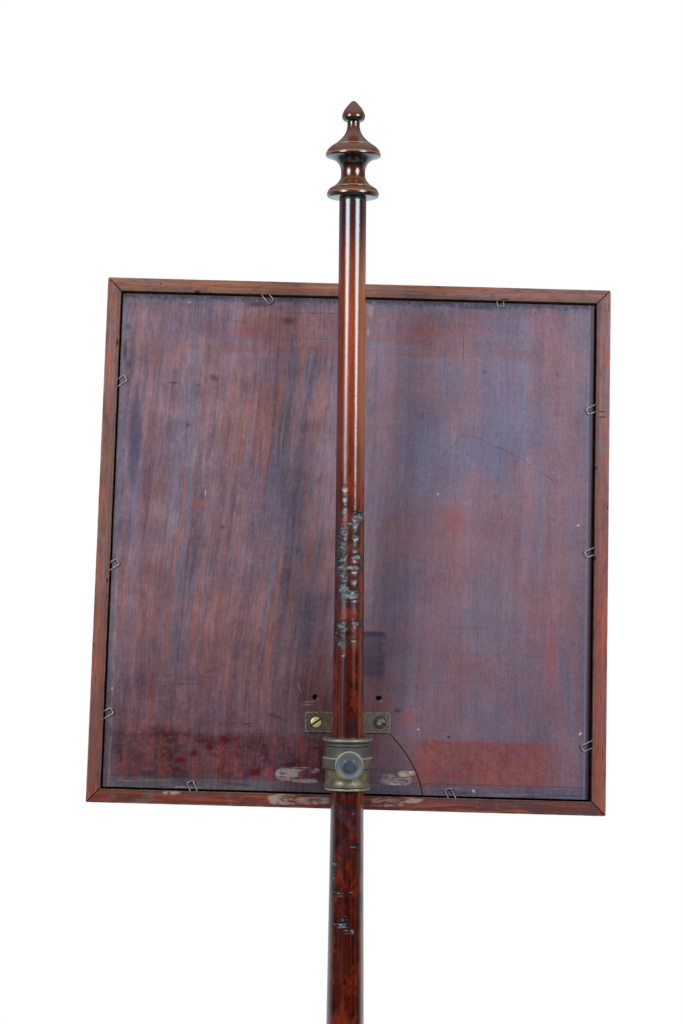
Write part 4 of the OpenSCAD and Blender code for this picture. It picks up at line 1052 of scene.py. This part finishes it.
# Staples
# Ten wire staples, driven into the rails by hand and bent over the backboard, all askew.
# Steel wire with a dull tin skin and a touch of rust.
wire, shader, place = new_material("staple_wire")
rust = step(speckle(place, 500.0, 4.0), 0.52, 0.7)
feed(shader, {"Base Color": mix(rust, srgb(146, 147, 144), srgb(92, 78, 62)),
              "Metallic": 0.5 - rust * 0.4, "Roughness": 0.34 + rust * 0.3})
staples = cad_copy("staples", "wire_staples", 40)
put_on(staples, wire)
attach(staples, "banner")

# Studio
# A pale floor that fades into a white surround, two soft square lamps hung by a corner on both
# sides of the camera, and a camera at eye level with the banner's middle.
floor_r = 1.5
bpy.ops.object.select_all(action="DESELECT")
bpy.ops.mesh.primitive_circle_add(vertices=96, radius=floor_r, fill_type="NGON",
                                  location=(0, 0, -0.0005))
floor = bpy.context.active_object
floor.name = "floor"
paper, shader, place = new_material("floor_paper")
from_middle = vector("LENGTH", place)["Value"]
feed(shader, {"Base Color": (0.86, 0.86, 0.86, 1), "Roughness": 0.9, "Specular IOR Level": 0.1,
              "Alpha": step(from_middle, floor_r - 0.05, 0.5)})
put_on(floor, paper)

world = bpy.data.worlds.new("white_surround")
bpy.context.scene.world = world
world.use_nodes = True
tree = world.node_tree
tree.nodes.clear()
aimed = split(add(tree, "TexCoord")["Generated"])
path = add(tree, "LightPath")
behind = step(aimed["Y"], -0.12, 0.04)
low = step(aimed["Z"], 0.2, -0.06)
overhead = step(aimed["Z"], 0.4, 0.8) * 0.6
soft_level = 0.12 + behind * 0.4
straight_on = step(aimed["Y"], -0.15, 0.6)
mirror_level = calc("MAXIMUM", straight_on * (0.35 + low * 0.85), overhead)
mirrored = calc("MAXIMUM", path["Is Glossy Ray"], path["Is Transmission Ray"])
level = add(tree, "Mix", {0: mirrored, 2: soft_level, 3: mirror_level}, data_type="FLOAT")
level = add(tree, "Mix", {0: path["Is Camera Ray"], 2: level, 3: 1.0}, data_type="FLOAT")
tinge = mix(mirrored, (1, 1, 1, 1), (0.84, 0.95, 1, 1))
sky = add(tree, "Background", {"Color": tinge, "Strength": level})
feed(tree.nodes.new("ShaderNodeOutputWorld"), {"Surface": sky})

lamp_distance, lamp_height, lamp_side, lamp_power = 1.75, 1.64, 0.77, 23
for side, azimuth in (("left", -42.5), ("right", 42)):
    data = bpy.data.lights.new("lamp_" + side, "AREA")
    data.size = lamp_side
    data.energy = lamp_power
    lamp = bpy.data.objects.new("lamp_" + side, data)
    bpy.context.scene.collection.objects.link(lamp)
    angle = math.radians(azimuth)
    lamp.location = pole_axis + Vector((math.sin(angle) * lamp_distance,
                                        -math.cos(angle) * lamp_distance, lamp_height))
    hung = (Matrix.Rotation(angle, 3, "Z") @ Matrix.Rotation(quarter, 3, "X")
            @ Matrix.Rotation(quarter / 2, 3, "Z"))
    lamp.rotation_euler = hung.to_euler()

camera_data = bpy.data.cameras.new("camera")
camera_data.sensor_width = 36
photo_focal, photo_height = 2100, 1024
camera_data.lens = photo_focal / photo_height * camera_data.sensor_width
camera_data.clip_start = 0.05
camera = bpy.data.objects.new("camera", camera_data)
bpy.context.scene.collection.objects.link(camera)
camera.location = (-0.0050, -1.8962, 1.0542)
pitch, yaw, roll = math.radians(90.761), math.radians(0.087), math.radians(0.547)
aim = Matrix.Rotation(yaw, 3, "Z") @ Matrix.Rotation(pitch, 3, "X") @ Matrix.Rotation(roll, 3, "Z")
camera.rotation_euler = aim.to_euler()
bpy.context.scene.camera = camera
bpy.context.scene.view_settings.view_transform = "Standard"
